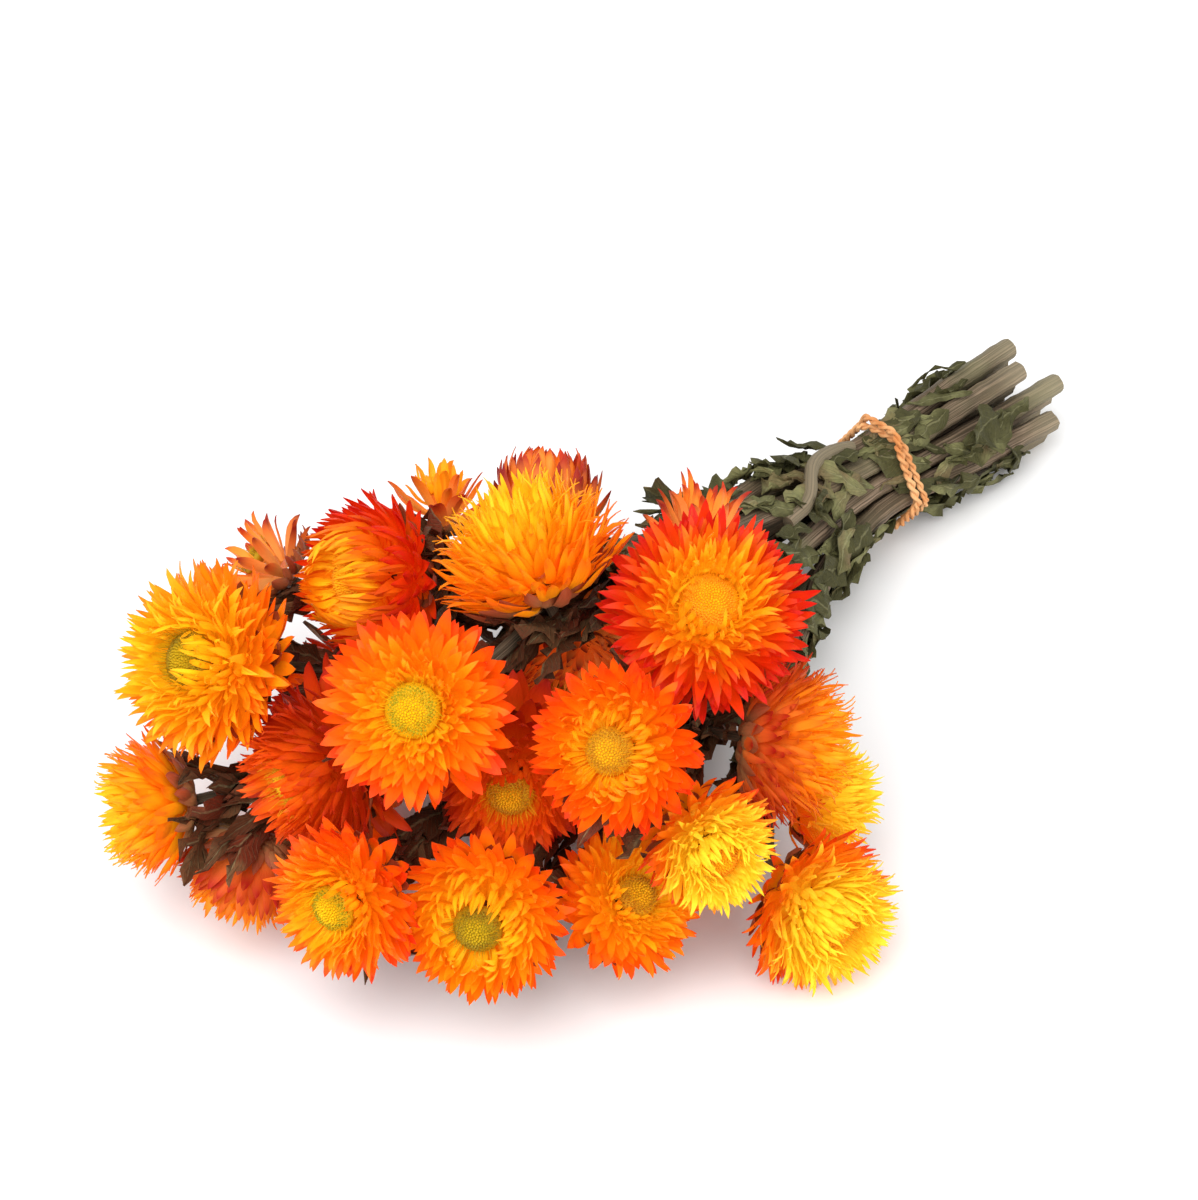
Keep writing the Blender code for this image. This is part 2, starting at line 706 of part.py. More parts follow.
def model_tie():
    """The band as one closed line wound twice, which crosses over itself once at the top."""
    places = np.array([place for place, _, _ in STEMS.values()])
    margin = STEM_RADIUS + 2 * SEAT_GAP + BAND_RADIUS
    top = math.tau / 4
    path = []
    for index in range(BAND_STEPS):
        turn = 2 * math.tau * index / BAND_STEPS
        way = np.array((math.cos(turn), math.sin(turn)))
        square = np.array((-way[1], way[0]))
        furthest = places[int(np.argmax(places @ way))]
        rise = BAND_OVER * math.exp(-(((turn - top) / BAND_OVER_WIDTH) ** 2))
        spot = way * (furthest @ way + margin + rise) + square * (furthest @ square)
        along = BAND_X + BAND_WANDER * math.cos((turn + top) / 2)
        path.append(TIE_MIDDLE + BUNDLE_WAY * along + (0.0, *spot))
    points = []
    for index, point in enumerate(path):
        way = unit(path[(index + 1) % BAND_STEPS] - path[index - 1])
        out = unit((point - TIE_MIDDLE) * (0.0, 1.0, 1.0))
        side = unit(np.cross(way, out))
        out = np.cross(side, way)
        for corner in range(4):
            turn = math.tau * (corner / 4 + BAND_TWISTS * index / BAND_STEPS / 4)
            points.append(point + BAND_RADIUS * (math.cos(turn) * side + math.sin(turn) * out))
    faces = []
    for index in range(BAND_STEPS):
        last = index == BAND_STEPS - 1
        low = index * 4
        high = 0 if last else low + 4
        turn = BAND_TWISTS if last else 0
        for corner in range(4):
            after = (corner + 1) % 4
            faces.append((low + corner, low + after, high + (after + turn) % 4))
            faces.append((low + corner, high + (after + turn) % 4, high + (corner + turn) % 4))
    return points, faces


def main():
    clear_scene()
    chance = random.Random(SEED)
    heads = {name: Head(name) for name in BLOOMS}
    for head in heads.values():
        model_bracts(head, chance)
    press_apart(list(heads.values()))
    routes = lay_routes(heads)
    ease_apart(routes, heads)
    leaves = place_leaves(routes, heads, chance)
    solids = []
    for head in heads.values():
        solids.append(add_solid(head.name, head.points + UNDER_TIE, head.faces, head.colour))
        if head.has_disc:
            points, faces = model_disc(head)
            solids.append(add_solid(head.name.replace("bloom", "disc"), points + UNDER_TIE, faces, "disc"))
    for stem in STEMS:
        pieces = []
        for order, route in enumerate(route for route in routes if route.stem == stem):
            head = heads[route.head]
            sides = BRANCH_SIDES if order else STEM_SIDES
            corners, faces = tube(route.points, route.radii, sides, head.radius * BASE_RADIUS, head.axis)
            pieces.append((np.array(corners) + UNDER_TIE, faces))
        for blade, faces in leaves[stem]:
            pieces.append((blade + UNDER_TIE, faces))
        solids.append(join_pieces(stem, pieces, "stem"))
    points, faces = model_tie()
    solids.append(add_solid("tie", np.array(points) + UNDER_TIE, faces, "tie"))
    for solid in solids:
        rest_on_floor(solid)


main()
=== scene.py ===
import itertools
import math
import random

import bmesh
import bpy
import numpy as np
from mathutils import Matrix, Vector, noise


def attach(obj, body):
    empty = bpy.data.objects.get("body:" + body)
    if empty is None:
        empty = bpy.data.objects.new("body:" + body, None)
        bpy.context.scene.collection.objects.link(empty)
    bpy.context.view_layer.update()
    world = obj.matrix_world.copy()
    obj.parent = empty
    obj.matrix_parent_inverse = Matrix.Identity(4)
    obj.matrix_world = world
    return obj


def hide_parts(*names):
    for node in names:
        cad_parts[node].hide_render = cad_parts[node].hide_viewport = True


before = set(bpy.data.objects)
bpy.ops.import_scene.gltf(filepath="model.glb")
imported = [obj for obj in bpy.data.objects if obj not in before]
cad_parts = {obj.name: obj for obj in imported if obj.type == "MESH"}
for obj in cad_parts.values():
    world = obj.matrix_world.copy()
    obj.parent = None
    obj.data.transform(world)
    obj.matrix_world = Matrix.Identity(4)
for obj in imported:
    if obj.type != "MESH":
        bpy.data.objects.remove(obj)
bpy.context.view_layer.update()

MM = 0.001
SEED = 23
UNDER_TIE = np.array((98.3, 2.4, 0.0))
FLOOR_GAP = 0.15
CARRIED = ("along", "across", "row", "chance")

# Blooms: place of the head's middle, the way it faces (yaw and pitch in degrees), radius,
# form, colour, the tone of its disc, and the style of its bracts.
BLOOMS = {
    "bloom_01": ((-238, 60, 84), 170, 39, 29, "open", "yellow", "olive", "fine"),
    "bloom_02": ((-226, -10, 104), -148, 45, 27, "open", "orange", "lime", "broad"),
    "bloom_03": ((-163, 6, 102), 80, 55, 28.5, "dome", "yellow", "gold", "fine"),
    "bloom_04": ((-143, -40, 100), -129, 61, 30, "open", "red", "gold", "fine"),
    "bloom_05": ((-197, -55, 98), -156, 40, 24, "open", "orange", "mustard", "rolled"),
    "bloom_06": ((-180, 50, 82), 165, 23, 26, "dome", "red", "gold", "rolled"),
    "bloom_07": ((-187, 89, 66), 112, 26, 19, "spent", "rust", "olive", "star"),
    "bloom_08": ((-138, 67, 68), 50, 49, 18, "cup", "orange", "gold", "star"),
    "bloom_09": ((-116, 46, 66), 34, 53, 20, "bud", "rust", None, "bud"),
    "bloom_10": ((-255, -9, 52), -171, 18, 24, "open", "orange", "lime", "broad"),
    "bloom_11": ((-233, -39, 48), -150, 26, 24.5, "open", "orange", "olive", "rolled"),
    "bloom_12": ((-193, -56, 34), -90, 55, 22, "open", "orange", "mustard", "broad"),
    "bloom_13": ((-181, -74, 62), -113, 12, 20, "dome", "yellow", "gold", "fine"),
    "bloom_14": ((-152, -90, 23), -102, 8, 24.5, "dome", "yellow", "gold", "fine"),
    "bloom_15": ((-139, -63, 62), -57, 2, 25, "dome", "orange", "gold", "fine"),
    "bloom_16": ((-127, -70, 34), -60, 23, 19.5, "dome", "yellow", "gold", "fine"),
    "bloom_17": ((-260, 59, 44), 144, -2, 22.5, "cup", "yellow", "olive", "broad"),
    "bloom_18": ((-250, 37, 30), -179, -58, 21, "cup", "orange", "olive", "broad"),
    "bloom_19": ((-234, 21, 66), 170, 5, 25, "dome", "orange", "mustard", "broad"),
    "bloom_20": ((-198, -18, 63), -143, 13, 24, "dome", "red", "mustard", "broad"),
    "bloom_21": ((-153, -1, 63), -156, -15, 20, "cup", "rust", "mustard", "broad"),
    "bloom_22": ((-103, -4, 77), 33, 59, 18, "bud", "rust", None, "star"),
    "bloom_23": ((-190, 64, 34), 150, 40, 17, "bud", "red", None, "bud"),
    "bloom_24": ((-156, -34, 14), -80, -35, 21, "cup", "orange", "mustard", "broad"),
    "bloom_25": ((-212, 42, 14), 165, -40, 21, "cup", "orange", "mustard", "broad"),
}

# A form lists where the tips of its rows of bracts are, from the lowest row up, as reach and
# height in parts of the radius, and the height of the floor that the disc sits on.
FORMS = {
    "open": (((1.00, 0.12), (0.97, 0.38), (0.78, 0.58), (0.52, 0.70)), 0.43),
    "dome": (((1.00, 0.22), (0.92, 0.52), (0.73, 0.74), (0.46, 0.84)), 0.55),
    "cup": (((1.00, 0.36), (0.86, 0.62), (0.70, 0.76), (0.54, 0.84)), 0.53),
    "spent": (((1.00, 0.22), (0.86, 0.56), (0.68, 0.70), (0.48, 0.80)), 0.43),
    "bud": (((0.94, 0.56), (0.76, 0.84), (0.58, 0.94), (0.40, 1.00)), 0.50),
}

# A style gives the rows of bracts, and for the lowest and the highest row their half width in
# parts of the radius, how far they cover their circle, how ragged, twisted, bellied, flicked
# and troughed they are. "inmost" is the reach of the last tips, and their rise over the form.
STYLES = {
    "broad": {"rows": 13, "half": (0.104, 0.036), "cover": (0.92, 1.00), "ragged": (0.08, 0.17),
              "twist": (0.20, 0.50), "belly": (0.10, 0.20), "flick": (0.03, 0.16),
              "trough": (0.22, 0.30), "inmost": (0.36, -0.03)},
    "fine": {"rows": 14, "half": (0.076, 0.030), "cover": (0.95, 1.15), "ragged": (0.09, 0.19),
             "twist": (0.30, 0.70), "belly": (0.13, 0.22), "flick": (0.04, 0.24),
             "trough": (0.22, 0.28), "inmost": (0.20, 0.02)},
    "rolled": {"rows": 12, "half": (0.100, 0.054), "cover": (0.95, 0.90), "ragged": (0.06, 0.08),
               "twist": (0.18, 0.25), "belly": (0.10, 0.42), "flick": (0.03, -0.12),
               "trough": (0.22, 0.90), "inmost": (0.35, 0.04)},
    "star": {"rows": 4, "half": (0.135, 0.085), "cover": (0.60, 0.55), "ragged": (0.12, 0.18),
             "twist": (0.30, 0.60), "belly": (0.03, 0.10), "flick": (0.03, 0.08),
             "trough": (0.55, 0.60), "inmost": (0.34, 0.00)},
    "bud": {"rows": 7, "half": (0.170, 0.105), "cover": (0.95, 0.95), "ragged": (0.06, 0.08),
            "twist": (0.10, 0.20), "belly": (0.22, 0.22), "flick": (-0.04, -0.05),
            "trough": (0.35, 0.40), "inmost": (0.26, -0.02)},
}
SCALE_TIPS = ((0.42, 0.02), (0.64, 0.08), (0.84, 0.13))
SCALE_HALF = 0.115
SKIRTED = ("bloom_19", "bloom_20", "bloom_21", "bloom_23", "bloom_24", "bloom_25")
SKIRT_TIPS = ((1.22, -0.16), (1.14, 0.0))
SKIRT_HALF = 0.150
BASE_RADIUS = 0.19
HEAD_MIDDLE = 0.26
HEAD_DEPTH = 1.2
HEAD_CORE = 0.44
DISC_REACH = 0.25
ENVELOPE_SIDES = 18

# Slats: faces along and round the closed blades that bracts and leaves are shaped from.
WIDE_BRACT = (7, 6)
SLIM_BRACT = (6, 4)
BROAD_LEAF = (11, 10)
SMALL_LEAF = (8, 8)
HAIR = (3, 3)
BRACT_THICK = 0.30
SLIM_FROM = 0.42
LEAF_THICK = 0.35

# Stems: place in the bundle at the tie, length past the tie, and the blooms they carry.
STEMS = {
    "stem_01": ((-4, 10.4), 66, ("bloom_02", "bloom_04")),
    "stem_02": ((4, 10.4), 74, ("bloom_03", "bloom_22")),
    "stem_03": ((-8, 3.5), 80, ("bloom_05", "bloom_13")),
    "stem_04": ((0, 3.5), 68, ("bloom_19", "bloom_21")),
    "stem_05": ((8, 3.5), 78, ("bloom_01", "bloom_06")),
    "stem_06": ((-12, -3.5), 72, ("bloom_14", "bloom_15")),
    "stem_07": ((-4, -3.5), 82, ("bloom_11", "bloom_20")),
    "stem_08": ((4, -3.5), 70, ("bloom_10", "bloom_23")),
    "stem_09": ((12, -3.5), 76, ("bloom_07", "bloom_08", "bloom_09")),
    "stem_10": ((-8, -10.4), 74, ("bloom_12", "bloom_16")),
    "stem_11": ((0, -10.4), 84, ("bloom_18", "bloom_24")),
    "stem_12": ((8, -10.4), 71, ("bloom_17", "bloom_25")),
}
TIE_MIDDLE = np.array((0.0, 11.0, 25.0))
CUT_MIDDLE = np.array((76.0, 8.0, 16.0))
BUNDLE_WAY = (CUT_MIDDLE - TIE_MIDDLE) / (CUT_MIDDLE - TIE_MIDDLE)[0]
CUT_SPREAD = 0.32
MOUTH_REACH = 42.0
MOUTH_SPREAD = 0.55
HELD_PAST_TIE = 14.0
HELD_BEFORE_TIE = 12.0
NECK_LENGTH = 3.0
EASING_ROUNDS = 220
STEM_CLEARANCE = 0.9
STEM_POINTS = 8
BRANCH_POINTS = 6
STEM_RADIUS = 3.5
NECK_RADIUS = 1.5
BRANCH_RADIUS = 1.7
STEM_SIDES = 18
BRANCH_SIDES = 10
STEM_STEP = 3.0
JOINT_STEP = 13.0

BAND_RADIUS = 1.3
BAND_STEPS = 56
BAND_WANDER = 3.6
BAND_X = 3.0
BAND_OVER = 3.1
BAND_OVER_WIDTH = 0.75
STRAND_RADIUS = 0.70
STRAND_TURNS = 34
STRAND_STEPS = 370
STRAND_SIDES = 8

# Leaves: where they start along the bundle, how close together, and the sizes of a blade.
LEAF_FIRST = 62.0
LEAF_LAST = -62.0
LEAF_STEP = 4.2
LEAF_LENGTH = 26.0
LEAF_HALF = 5.2
LEAF_ROOT_SUNK = 1.0
SHEATH_FIRST = 72.0
SHEATH_LAST = -100.0
SHEATH_SIDES = 48
AMONG_BLOOMS = -112.0
BARE_FROM = 30.0
BARE_END = 66.0
INNER_STEMS = ("stem_04", "stem_07", "stem_08")
BAND_ZONE = (-2.6, 8.6)
LEAST_ROOM = -6.0
LOW_ENOUGH = 20.0
NEAR_ENOUGH = -60.0
STUB_STEM = "stem_02"
STUB = ((-9.0, 1.43, 1.2), (-20.0, 1.50, 3.6), (-33.0, 1.68, 4.0), (-46.0, 2.06, 3.4), (-57.0, 2.13, 1.0))
STUB_RADIUS = 2.2
LEAF_LIFTS = (10, 22, 38, 55)
LEAF_ROLLS = (0, 45, -45, 90, -90, 150)
BRANCH_LEAF_STEP = 5.5
BRANCH_LEAF_LENGTH = 23.0
BRANCH_LEAF_HALF = 5.0
BRANCH_LEAF_START = -48.0

# Colours of a bract near its root, half way and at its tip, as light each one gives back,
# first for the lowest row and then for the highest, and the rows between which they change.
BRACT_COLOURS = {
    "yellow": (((0.92, 0.40, 0.006), (0.92, 0.31, 0.003), (0.90, 0.16, 0.004)),
               ((0.94, 0.59, 0.010), (0.95, 0.55, 0.008), (0.95, 0.47, 0.010)), (0.06, 0.88)),
    "lemon": (((0.92, 0.38, 0.006), (0.91, 0.22, 0.003), (0.74, 0.038, 0.005)),
              ((0.95, 0.75, 0.040), (0.96, 0.72, 0.034), (0.96, 0.65, 0.030)), (0.02, 0.50)),
    "orange": (((0.92, 0.29, 0.004), (0.91, 0.155, 0.002), (0.80, 0.048, 0.004)),
               ((0.94, 0.46, 0.006), (0.95, 0.39, 0.004), (0.94, 0.28, 0.004)), (0.10, 0.92)),
    "amber": (((0.92, 0.34, 0.004), (0.92, 0.21, 0.002), (0.84, 0.075, 0.004)),
              ((0.94, 0.52, 0.008), (0.95, 0.46, 0.006), (0.95, 0.37, 0.006)), (0.04, 0.75)),
    "flame": (((0.84, 0.32, 0.070), (0.72, 0.12, 0.018), (0.42, 0.016, 0.007)),
              ((0.94, 0.46, 0.006), (0.94, 0.38, 0.004), (0.93, 0.26, 0.004)), (0.10, 0.80)),
    # A darker orange: painted shade for blooms that sit in shadow deep in the bunch.
    "orange_in_painted_shade": (((0.70, 0.12, 0.005), (0.60, 0.048, 0.003), (0.40, 0.014, 0.004)),
              ((0.82, 0.19, 0.005), (0.80, 0.13, 0.003), (0.74, 0.075, 0.004)), (0.14, 0.90)),
    "red": (((0.90, 0.17, 0.004), (0.78, 0.048, 0.002), (0.58, 0.011, 0.004)),
            ((0.95, 0.56, 0.010), (0.95, 0.48, 0.008), (0.94, 0.33, 0.006)), (0.34, 0.96)),
    "rust": (((0.86, 0.40, 0.11), (0.80, 0.20, 0.038), (0.24, 0.010, 0.008)),
             ((0.90, 0.40, 0.055), (0.90, 0.27, 0.028), (0.48, 0.034, 0.010)), (0.10, 0.89)),
}
# Blooms with a palette of their own; the darker orange one is painted shade.
OWN_COLOURS = {"bloom_08": "flame", "bloom_11": "amber", "bloom_12": "amber", "bloom_13": "lemon",
               "bloom_14": "lemon", "bloom_15": "flame", "bloom_16": "lemon", "bloom_18": "flame",
               "bloom_19": "orange_in_painted_shade", "bloom_20": "orange_in_painted_shade", "bloom_23": "orange_in_painted_shade", "bloom_24": "flame"}
# Painted glow: the bracts give off a faint light in their own colour, tinted redder, that stands in for light
# passing through the papery bracts and lightens their shade.
BRACT_PAINTED_GLOW = 0.12
PAINTED_GLOW_TINT = (1.0, 0.55, 0.25)
DISC_COLOURS = {
    "lime": ((0.86, 0.54, 0.004), (0.36, 0.30, 0.008)),
    "gold": ((0.98, 0.48, 0.006), (0.80, 0.32, 0.008)),
    "mustard": ((0.84, 0.46, 0.008), (0.50, 0.22, 0.008)),
    "olive": ((0.56, 0.38, 0.008), (0.30, 0.20, 0.010)),
}


def unit(vector):
    vector = np.asarray(vector, dtype=float)
    return vector / np.linalg.norm(vector)


def facing(yaw, pitch):
    turn, rise = math.radians(yaw), math.radians(pitch)
    return np.array((math.cos(turn) * math.cos(rise), math.sin(turn) * math.cos(rise), math.sin(rise)))


def square_to(axis):
    """Two directions square to an axis and to each other."""
    helper = (0.0, 0.0, 1.0) if abs(axis[2]) < 0.9 else (1.0, 0.0, 0.0)
    side = unit(np.cross(helper, axis))
    return side, np.cross(axis, side)


class Socket:
    """A node's output that ordinary sums are written with."""

    def __init__(self, finish, link):
        self.finish = finish
        self.link = link

    def maths(self, operation, *values):
        return self.finish.node("ShaderNodeMath", {"operation": operation}, dict(enumerate(values)))

    def __add__(self, other):
        return self.maths("ADD", self, other)

    def __sub__(self, other):
        return self.maths("SUBTRACT", self, other)

    def __rsub__(self, other):
        return self.maths("SUBTRACT", other, self)

    def __mul__(self, other):
        return self.maths("MULTIPLY", self, other)

    def __truediv__(self, other):
        return self.maths("DIVIDE", self, other)

    def __pow__(self, other):
        return self.maths("POWER", self, other)

    def __gt__(self, other):
        return self.maths("GREATER_THAN", self, other)

    __radd__ = __add__
    __rmul__ = __mul__


class Finish:
    """One material: its shader, and the nodes that vary it."""

    def __init__(self, name, roughness):
        self.material = bpy.data.materials.new(name)
        self.material.use_nodes = True
        self.tree = self.material.node_tree
        self.shader = self.tree.nodes["Principled BSDF"]
        self.shader.inputs["Roughness"].default_value = roughness

    def node(self, kind, settings, sockets, output=0):
        """Any node: its settings first, then the values or links of its sockets."""
        made = self.tree.nodes.new(kind)
        for setting, value in settings.items():
            setattr(made, setting, value)
        for socket, value in sockets.items():
            self.join(value, made.inputs[socket])
        return Socket(self, made.outputs[output])

    def join(self, value, socket):
        if isinstance(value, Socket):
            self.tree.links.new(value.link, socket)
        else:
            socket.default_value = value

    def carried(self, name):
        """A number that the piece carries at each of its points."""
        return self.node("ShaderNodeAttribute", {"attribute_name": name}, {}, "Fac")

    def place(self):
        return self.node("ShaderNodeTexCoord", {}, {}, "Object")

    def cloud(self, where, scale, detail=2.0, roughness=0.5):
        """Soft irregular patches, from 0 to 1."""
        return self.node("ShaderNodeTexNoise", {"noise_dimensions": "3D"},
                         {"Vector": where, "Scale": scale, "Detail": detail, "Roughness": roughness}, 0)

    def point(self, x, y, z):
        return self.node("ShaderNodeCombineXYZ", {}, {0: x, 1: y, 2: z})

    def ease(self, value, low, high, start=0.0, end=1.0):
        """From start to end while the value goes from low to high."""
        settings = {"interpolation_type": "SMOOTHSTEP"}
        return self.node("ShaderNodeMapRange", settings, {0: value, 1: low, 2: high, 3: start, 4: end})

    def mix(self, share, one, other, blend="MIX"):
        """A colour between two colours."""
        settings = {"data_type": "RGBA", "blend_type": blend, "clamp_factor": True}
        sockets = {0: share, 6: self.opaque(one), 7: self.opaque(other)}
        return self.node("ShaderNodeMix", settings, sockets, 2)

    def opaque(self, colour):
        return colour if isinstance(colour, Socket) else (*colour, 1.0)

    def dim(self, colour, amount):
        """A colour made lighter or darker by an amount that may vary."""
        grey = self.point(amount, amount, amount)
        return self.mix(1.0, colour, grey, "MULTIPLY")

    def wear(self, colour, roughness=None, height=None, depth=0.0002, strength=0.5):
        """Gives the shader its colour, roughness and relief."""
        self.join(colour, self.shader.inputs["Base Color"])
        if roughness is not None:
            self.join(roughness, self.shader.inputs["Roughness"])
        if height is not None:
            relief = self.node("ShaderNodeBump", {}, {"Strength": strength, "Distance": depth, "Height": height})
            self.join(relief, self.shader.inputs["Normal"])
        return self.material


def papery_finish(colour):
    """Papery bracts: paler at the root, redder at the tip and low on the head, with fine fibres, and a faint
    painted glow in their own colour, tinted redder, that stands in for light passing through them and lifts their
    shade.
    """
    low, high, change = BRACT_COLOURS[colour]
    finish = Finish(f"papery_{colour}", 0.42)
    finish.shader.inputs["Specular IOR Level"].default_value = 0.18
    finish.shader.inputs["Emission Strength"].default_value = BRACT_PAINTED_GLOW
    along = finish.carried("along")
    across = finish.carried("across")
    row = finish.carried("row")
    chance = finish.carried("chance")
    heart = finish.ease(row + (chance - 0.5) * 0.16, *change)
    root, middle, tip = (finish.mix(heart, one, other) for one, other in zip(low, high))
    toward_tip = finish.ease(along + (chance - 0.5) * 0.34, 0.50, 0.94)
    toward_root = finish.ease(along + (chance - 0.5) * 0.2, 0.10, 0.60)
    body = finish.mix(toward_root, root, middle)
    body = finish.mix(toward_tip, body, tip)
    fibre = finish.cloud(finish.point(along * 1.4, across * 5.0, chance * 60.0), 2.2, 3.0)
    patch = finish.cloud(finish.point(along * 2.0, across * 0.6, chance * 90.0), 1.6, 2.0)
    body = finish.dim(body, 0.84 + fibre * 0.20 + patch * 0.12 + chance * 0.08)
    dry = finish.ease(patch + (chance - 0.5) * 0.3 + along * 0.16, 0.74, 0.90)
    body = finish.mix(dry * 0.4, body, (0.50, 0.09, 0.006))
    # The painted glow: the bract's colour, tinted redder, given off as light.
    finish.join(finish.mix(1.0, body, PAINTED_GLOW_TINT, "MULTIPLY"), finish.shader.inputs["Emission Color"])
    return finish.wear(body, 0.38 + fibre * 0.22, fibre, 0.00025, 0.5)


def scale_finish():
    """The tan and brown scales under a bloom, with a satin surface."""
    finish = Finish("tan_scales", 0.45)
    finish.shader.inputs["Specular IOR Level"].default_value = 0.35
    along = finish.carried("along")
    across = finish.carried("across")
    chance = finish.carried("chance")
    shade = finish.ease(along + chance * 0.5 - 0.25, 0.1, 0.95)
    body = finish.mix(shade, (0.50, 0.25, 0.095), (0.36, 0.070, 0.022))
    fibre = finish.cloud(finish.point(along * 1.6, across * 4.0, chance * 70.0), 2.4, 3.0)
    body = finish.dim(body, 0.66 + fibre * 0.55 + chance * 0.15)
    return finish.wear(body, 0.38 + fibre * 0.25, fibre, 0.00025, 0.6)


def floret_finish(tone):
    """Tiny florets, darker towards the rim of the disc and at their roots."""
    middle, rim = DISC_COLOURS[tone]
    finish = Finish(f"florets_{tone}", 0.6)
    finish.shader.inputs["Specular IOR Level"].default_value = 0.2
    along = finish.carried("along")
    out = finish.carried("row")
    chance = finish.carried("chance")
    body = finish.mix(finish.ease(out + (chance - 0.5) * 0.25, 0.45, 0.85), middle, rim)
    body = finish.dim(body, 0.70 + along * 0.34 + chance * 0.16)
    return finish.wear(body, 0.55 + chance * 0.2)


def bark_finish():
    """Dried stems: brown and grey, streaked and ribbed lengthwise, paler by the cut."""
    finish = Finish("dried_bark", 0.62)
    finish.shader.inputs["Specular IOR Level"].default_value = 0.25
    along = finish.carried("along")
    round_x = finish.carried("across")
    round_y = finish.carried("row")
    chance = finish.carried("chance")
    streak = finish.cloud(finish.point(along * 14.0, round_x * 4.0, round_y * 4.0 + chance * 30.0), 2.0, 4.0, 0.6)
    patch = finish.cloud(finish.point(along * 34.0, round_x * 0.6, round_y * 0.6 + chance * 50.0), 1.4, 3.0)
    body = finish.mix(finish.ease(patch, 0.34, 0.66), (0.140, 0.098, 0.054), (0.300, 0.210, 0.142))
    body = finish.mix(finish.ease(streak, 0.40, 0.62), (0.090, 0.064, 0.036), body)
    green = finish.ease(finish.cloud(finish.point(along * 20.0, chance * 40.0, 0.0), 1.2, 2.0), 0.52, 0.70)
    body = finish.mix(green * 0.6, body, (0.190, 0.180, 0.092))
    body = finish.mix(finish.ease(along, 0.0, 0.022, 0.45, 0.0), body, (0.36, 0.31, 0.20))
    body = finish.dim(body, 0.62 + streak * 0.70)
    return finish.wear(body, 0.52 + streak * 0.22, streak, 0.0006, 0.8)


def pith_finish():
    """The pale cut face of a stem."""
    finish = Finish("cut_pith", 0.8)
    grain = finish.cloud(finish.place(), 1400.0, 3.0)
    body = finish.mix(finish.ease(grain, 0.35, 0.65), (0.40, 0.37, 0.25), (0.62, 0.60, 0.45))
    return finish.wear(body, 0.8, grain, 0.0003, 0.5)


def leaf_finish():
    """Crumpled leaves: olive with brown patches, a paler midrib and fine veins, and painted shade of a dark
    red-brown on the leaves among the blooms.
    """
    finish = Finish("dried_leaf", 0.66)
    finish.shader.inputs["Specular IOR Level"].default_value = 0.2
    along = finish.carried("along")
    across = finish.carried("across")
    chance = finish.carried("chance")
    where = finish.place()
    patch = finish.cloud(where, 90.0, 3.0, 0.55)
    fine = finish.cloud(where, 800.0, 3.0)
    body = finish.mix(finish.ease(patch + (chance - 0.5) * 0.5, 0.34, 0.64), (0.070, 0.066, 0.022),
                      (0.195, 0.190, 0.078))
    brown = finish.ease(finish.cloud(where, 60.0, 2.0) + (chance - 0.5) * 0.6, 0.56, 0.76)
    body = finish.mix(brown * 0.75, body, (0.160, 0.100, 0.050))
    # Painted shade: leaves among the blooms are drawn toward a dark red-brown that stands in for the shaded gaps
    # between the blooms.
    body = finish.mix(finish.carried("row") * (0.72 + 0.26 * brown), body, (0.135, 0.026, 0.010))
    side = across.maths("ABSOLUTE", across)
    rib = 1.0 - finish.ease(side, 0.02, 0.15)
    ribs = along * 9.0 - side * 3.2
    vein = finish.ease(ribs.maths("PINGPONG", ribs, 0.5), 0.0, 0.16, 1.0, 0.0)
    body = finish.mix(rib * 0.35, body, (0.36, 0.34, 0.17))
    body = finish.mix(vein * 0.14, body, (0.30, 0.29, 0.14))
    body = finish.dim(body, 0.40 + fine * 0.66 + chance * 0.44)
    return finish.wear(body, 0.54 + fine * 0.25, fine * 0.6 + vein * 0.5 + rib, 0.0006, 0.7)


def band_finish():
    """The twisted band: peach and tan fibres."""
    finish = Finish("twisted_fibre", 0.68)
    finish.shader.inputs["Specular IOR Level"].default_value = 0.25
    along = finish.carried("along")
    across = finish.carried("across")
    fibre = finish.cloud(finish.point(along * 40.0, across * 9.0, across * 2.0), 2.2, 4.0, 0.65)
    patch = finish.cloud(finish.place(), 120.0, 2.0)
    body = finish.mix(finish.ease(patch, 0.32, 0.68), (0.72, 0.28, 0.085), (0.92, 0.50, 0.22))
    body = finish.dim(body, 0.64 + fibre * 0.60)
    return finish.wear(body, 0.6 + fibre * 0.2, fibre, 0.0005, 0.8)


def floor_finish():
    finish = Finish("pale_floor", 0.9)
    finish.shader.inputs["Specular IOR Level"].default_value = 0.1
    grain = finish.cloud(finish.place(), 3.0, 2.0)
    return finish.wear(finish.mix(grain, (0.92, 0.92, 0.92), (0.94, 0.94, 0.94)))


def blend(pair, share):
    """Between two numbers, from the first to the second."""
    return pair[0] * (1 - share) + pair[1] * share


def slat(lengths, sides):
    """A closed flat slat: rings of corners from root to tip, in order, as a template."""
    shape = bmesh.new()
    bmesh.ops.create_cone(shape, cap_ends=True, segments=sides, radius1=1.0, radius2=1.0, depth=1.0)
    long_edges = [edge for edge in shape.edges if abs(edge.verts[0].co.z - edge.verts[1].co.z) > 0.5]
    bmesh.ops.subdivide_edges(shape, edges=long_edges, cuts=lengths - 1)
    shape.verts.sort(key=lambda corner: round(corner.co.z, 4) * 1e5 + turn_of(corner.co))
    return template_from(shape, "slat")


def seed():
    """A small rounded bead, as a template."""
    shape = bmesh.new()
    bmesh.ops.create_icosphere(shape, subdivisions=1, radius=1.0)
    return template_from(shape, "seed")


def turn_of(spot):
    return (math.atan2(spot.y, spot.x) + 0.1) % math.tau


def template_from(shape, name):
    mesh = bpy.data.meshes.new(name)
    shape.to_mesh(mesh)
    shape.free()
    return mesh


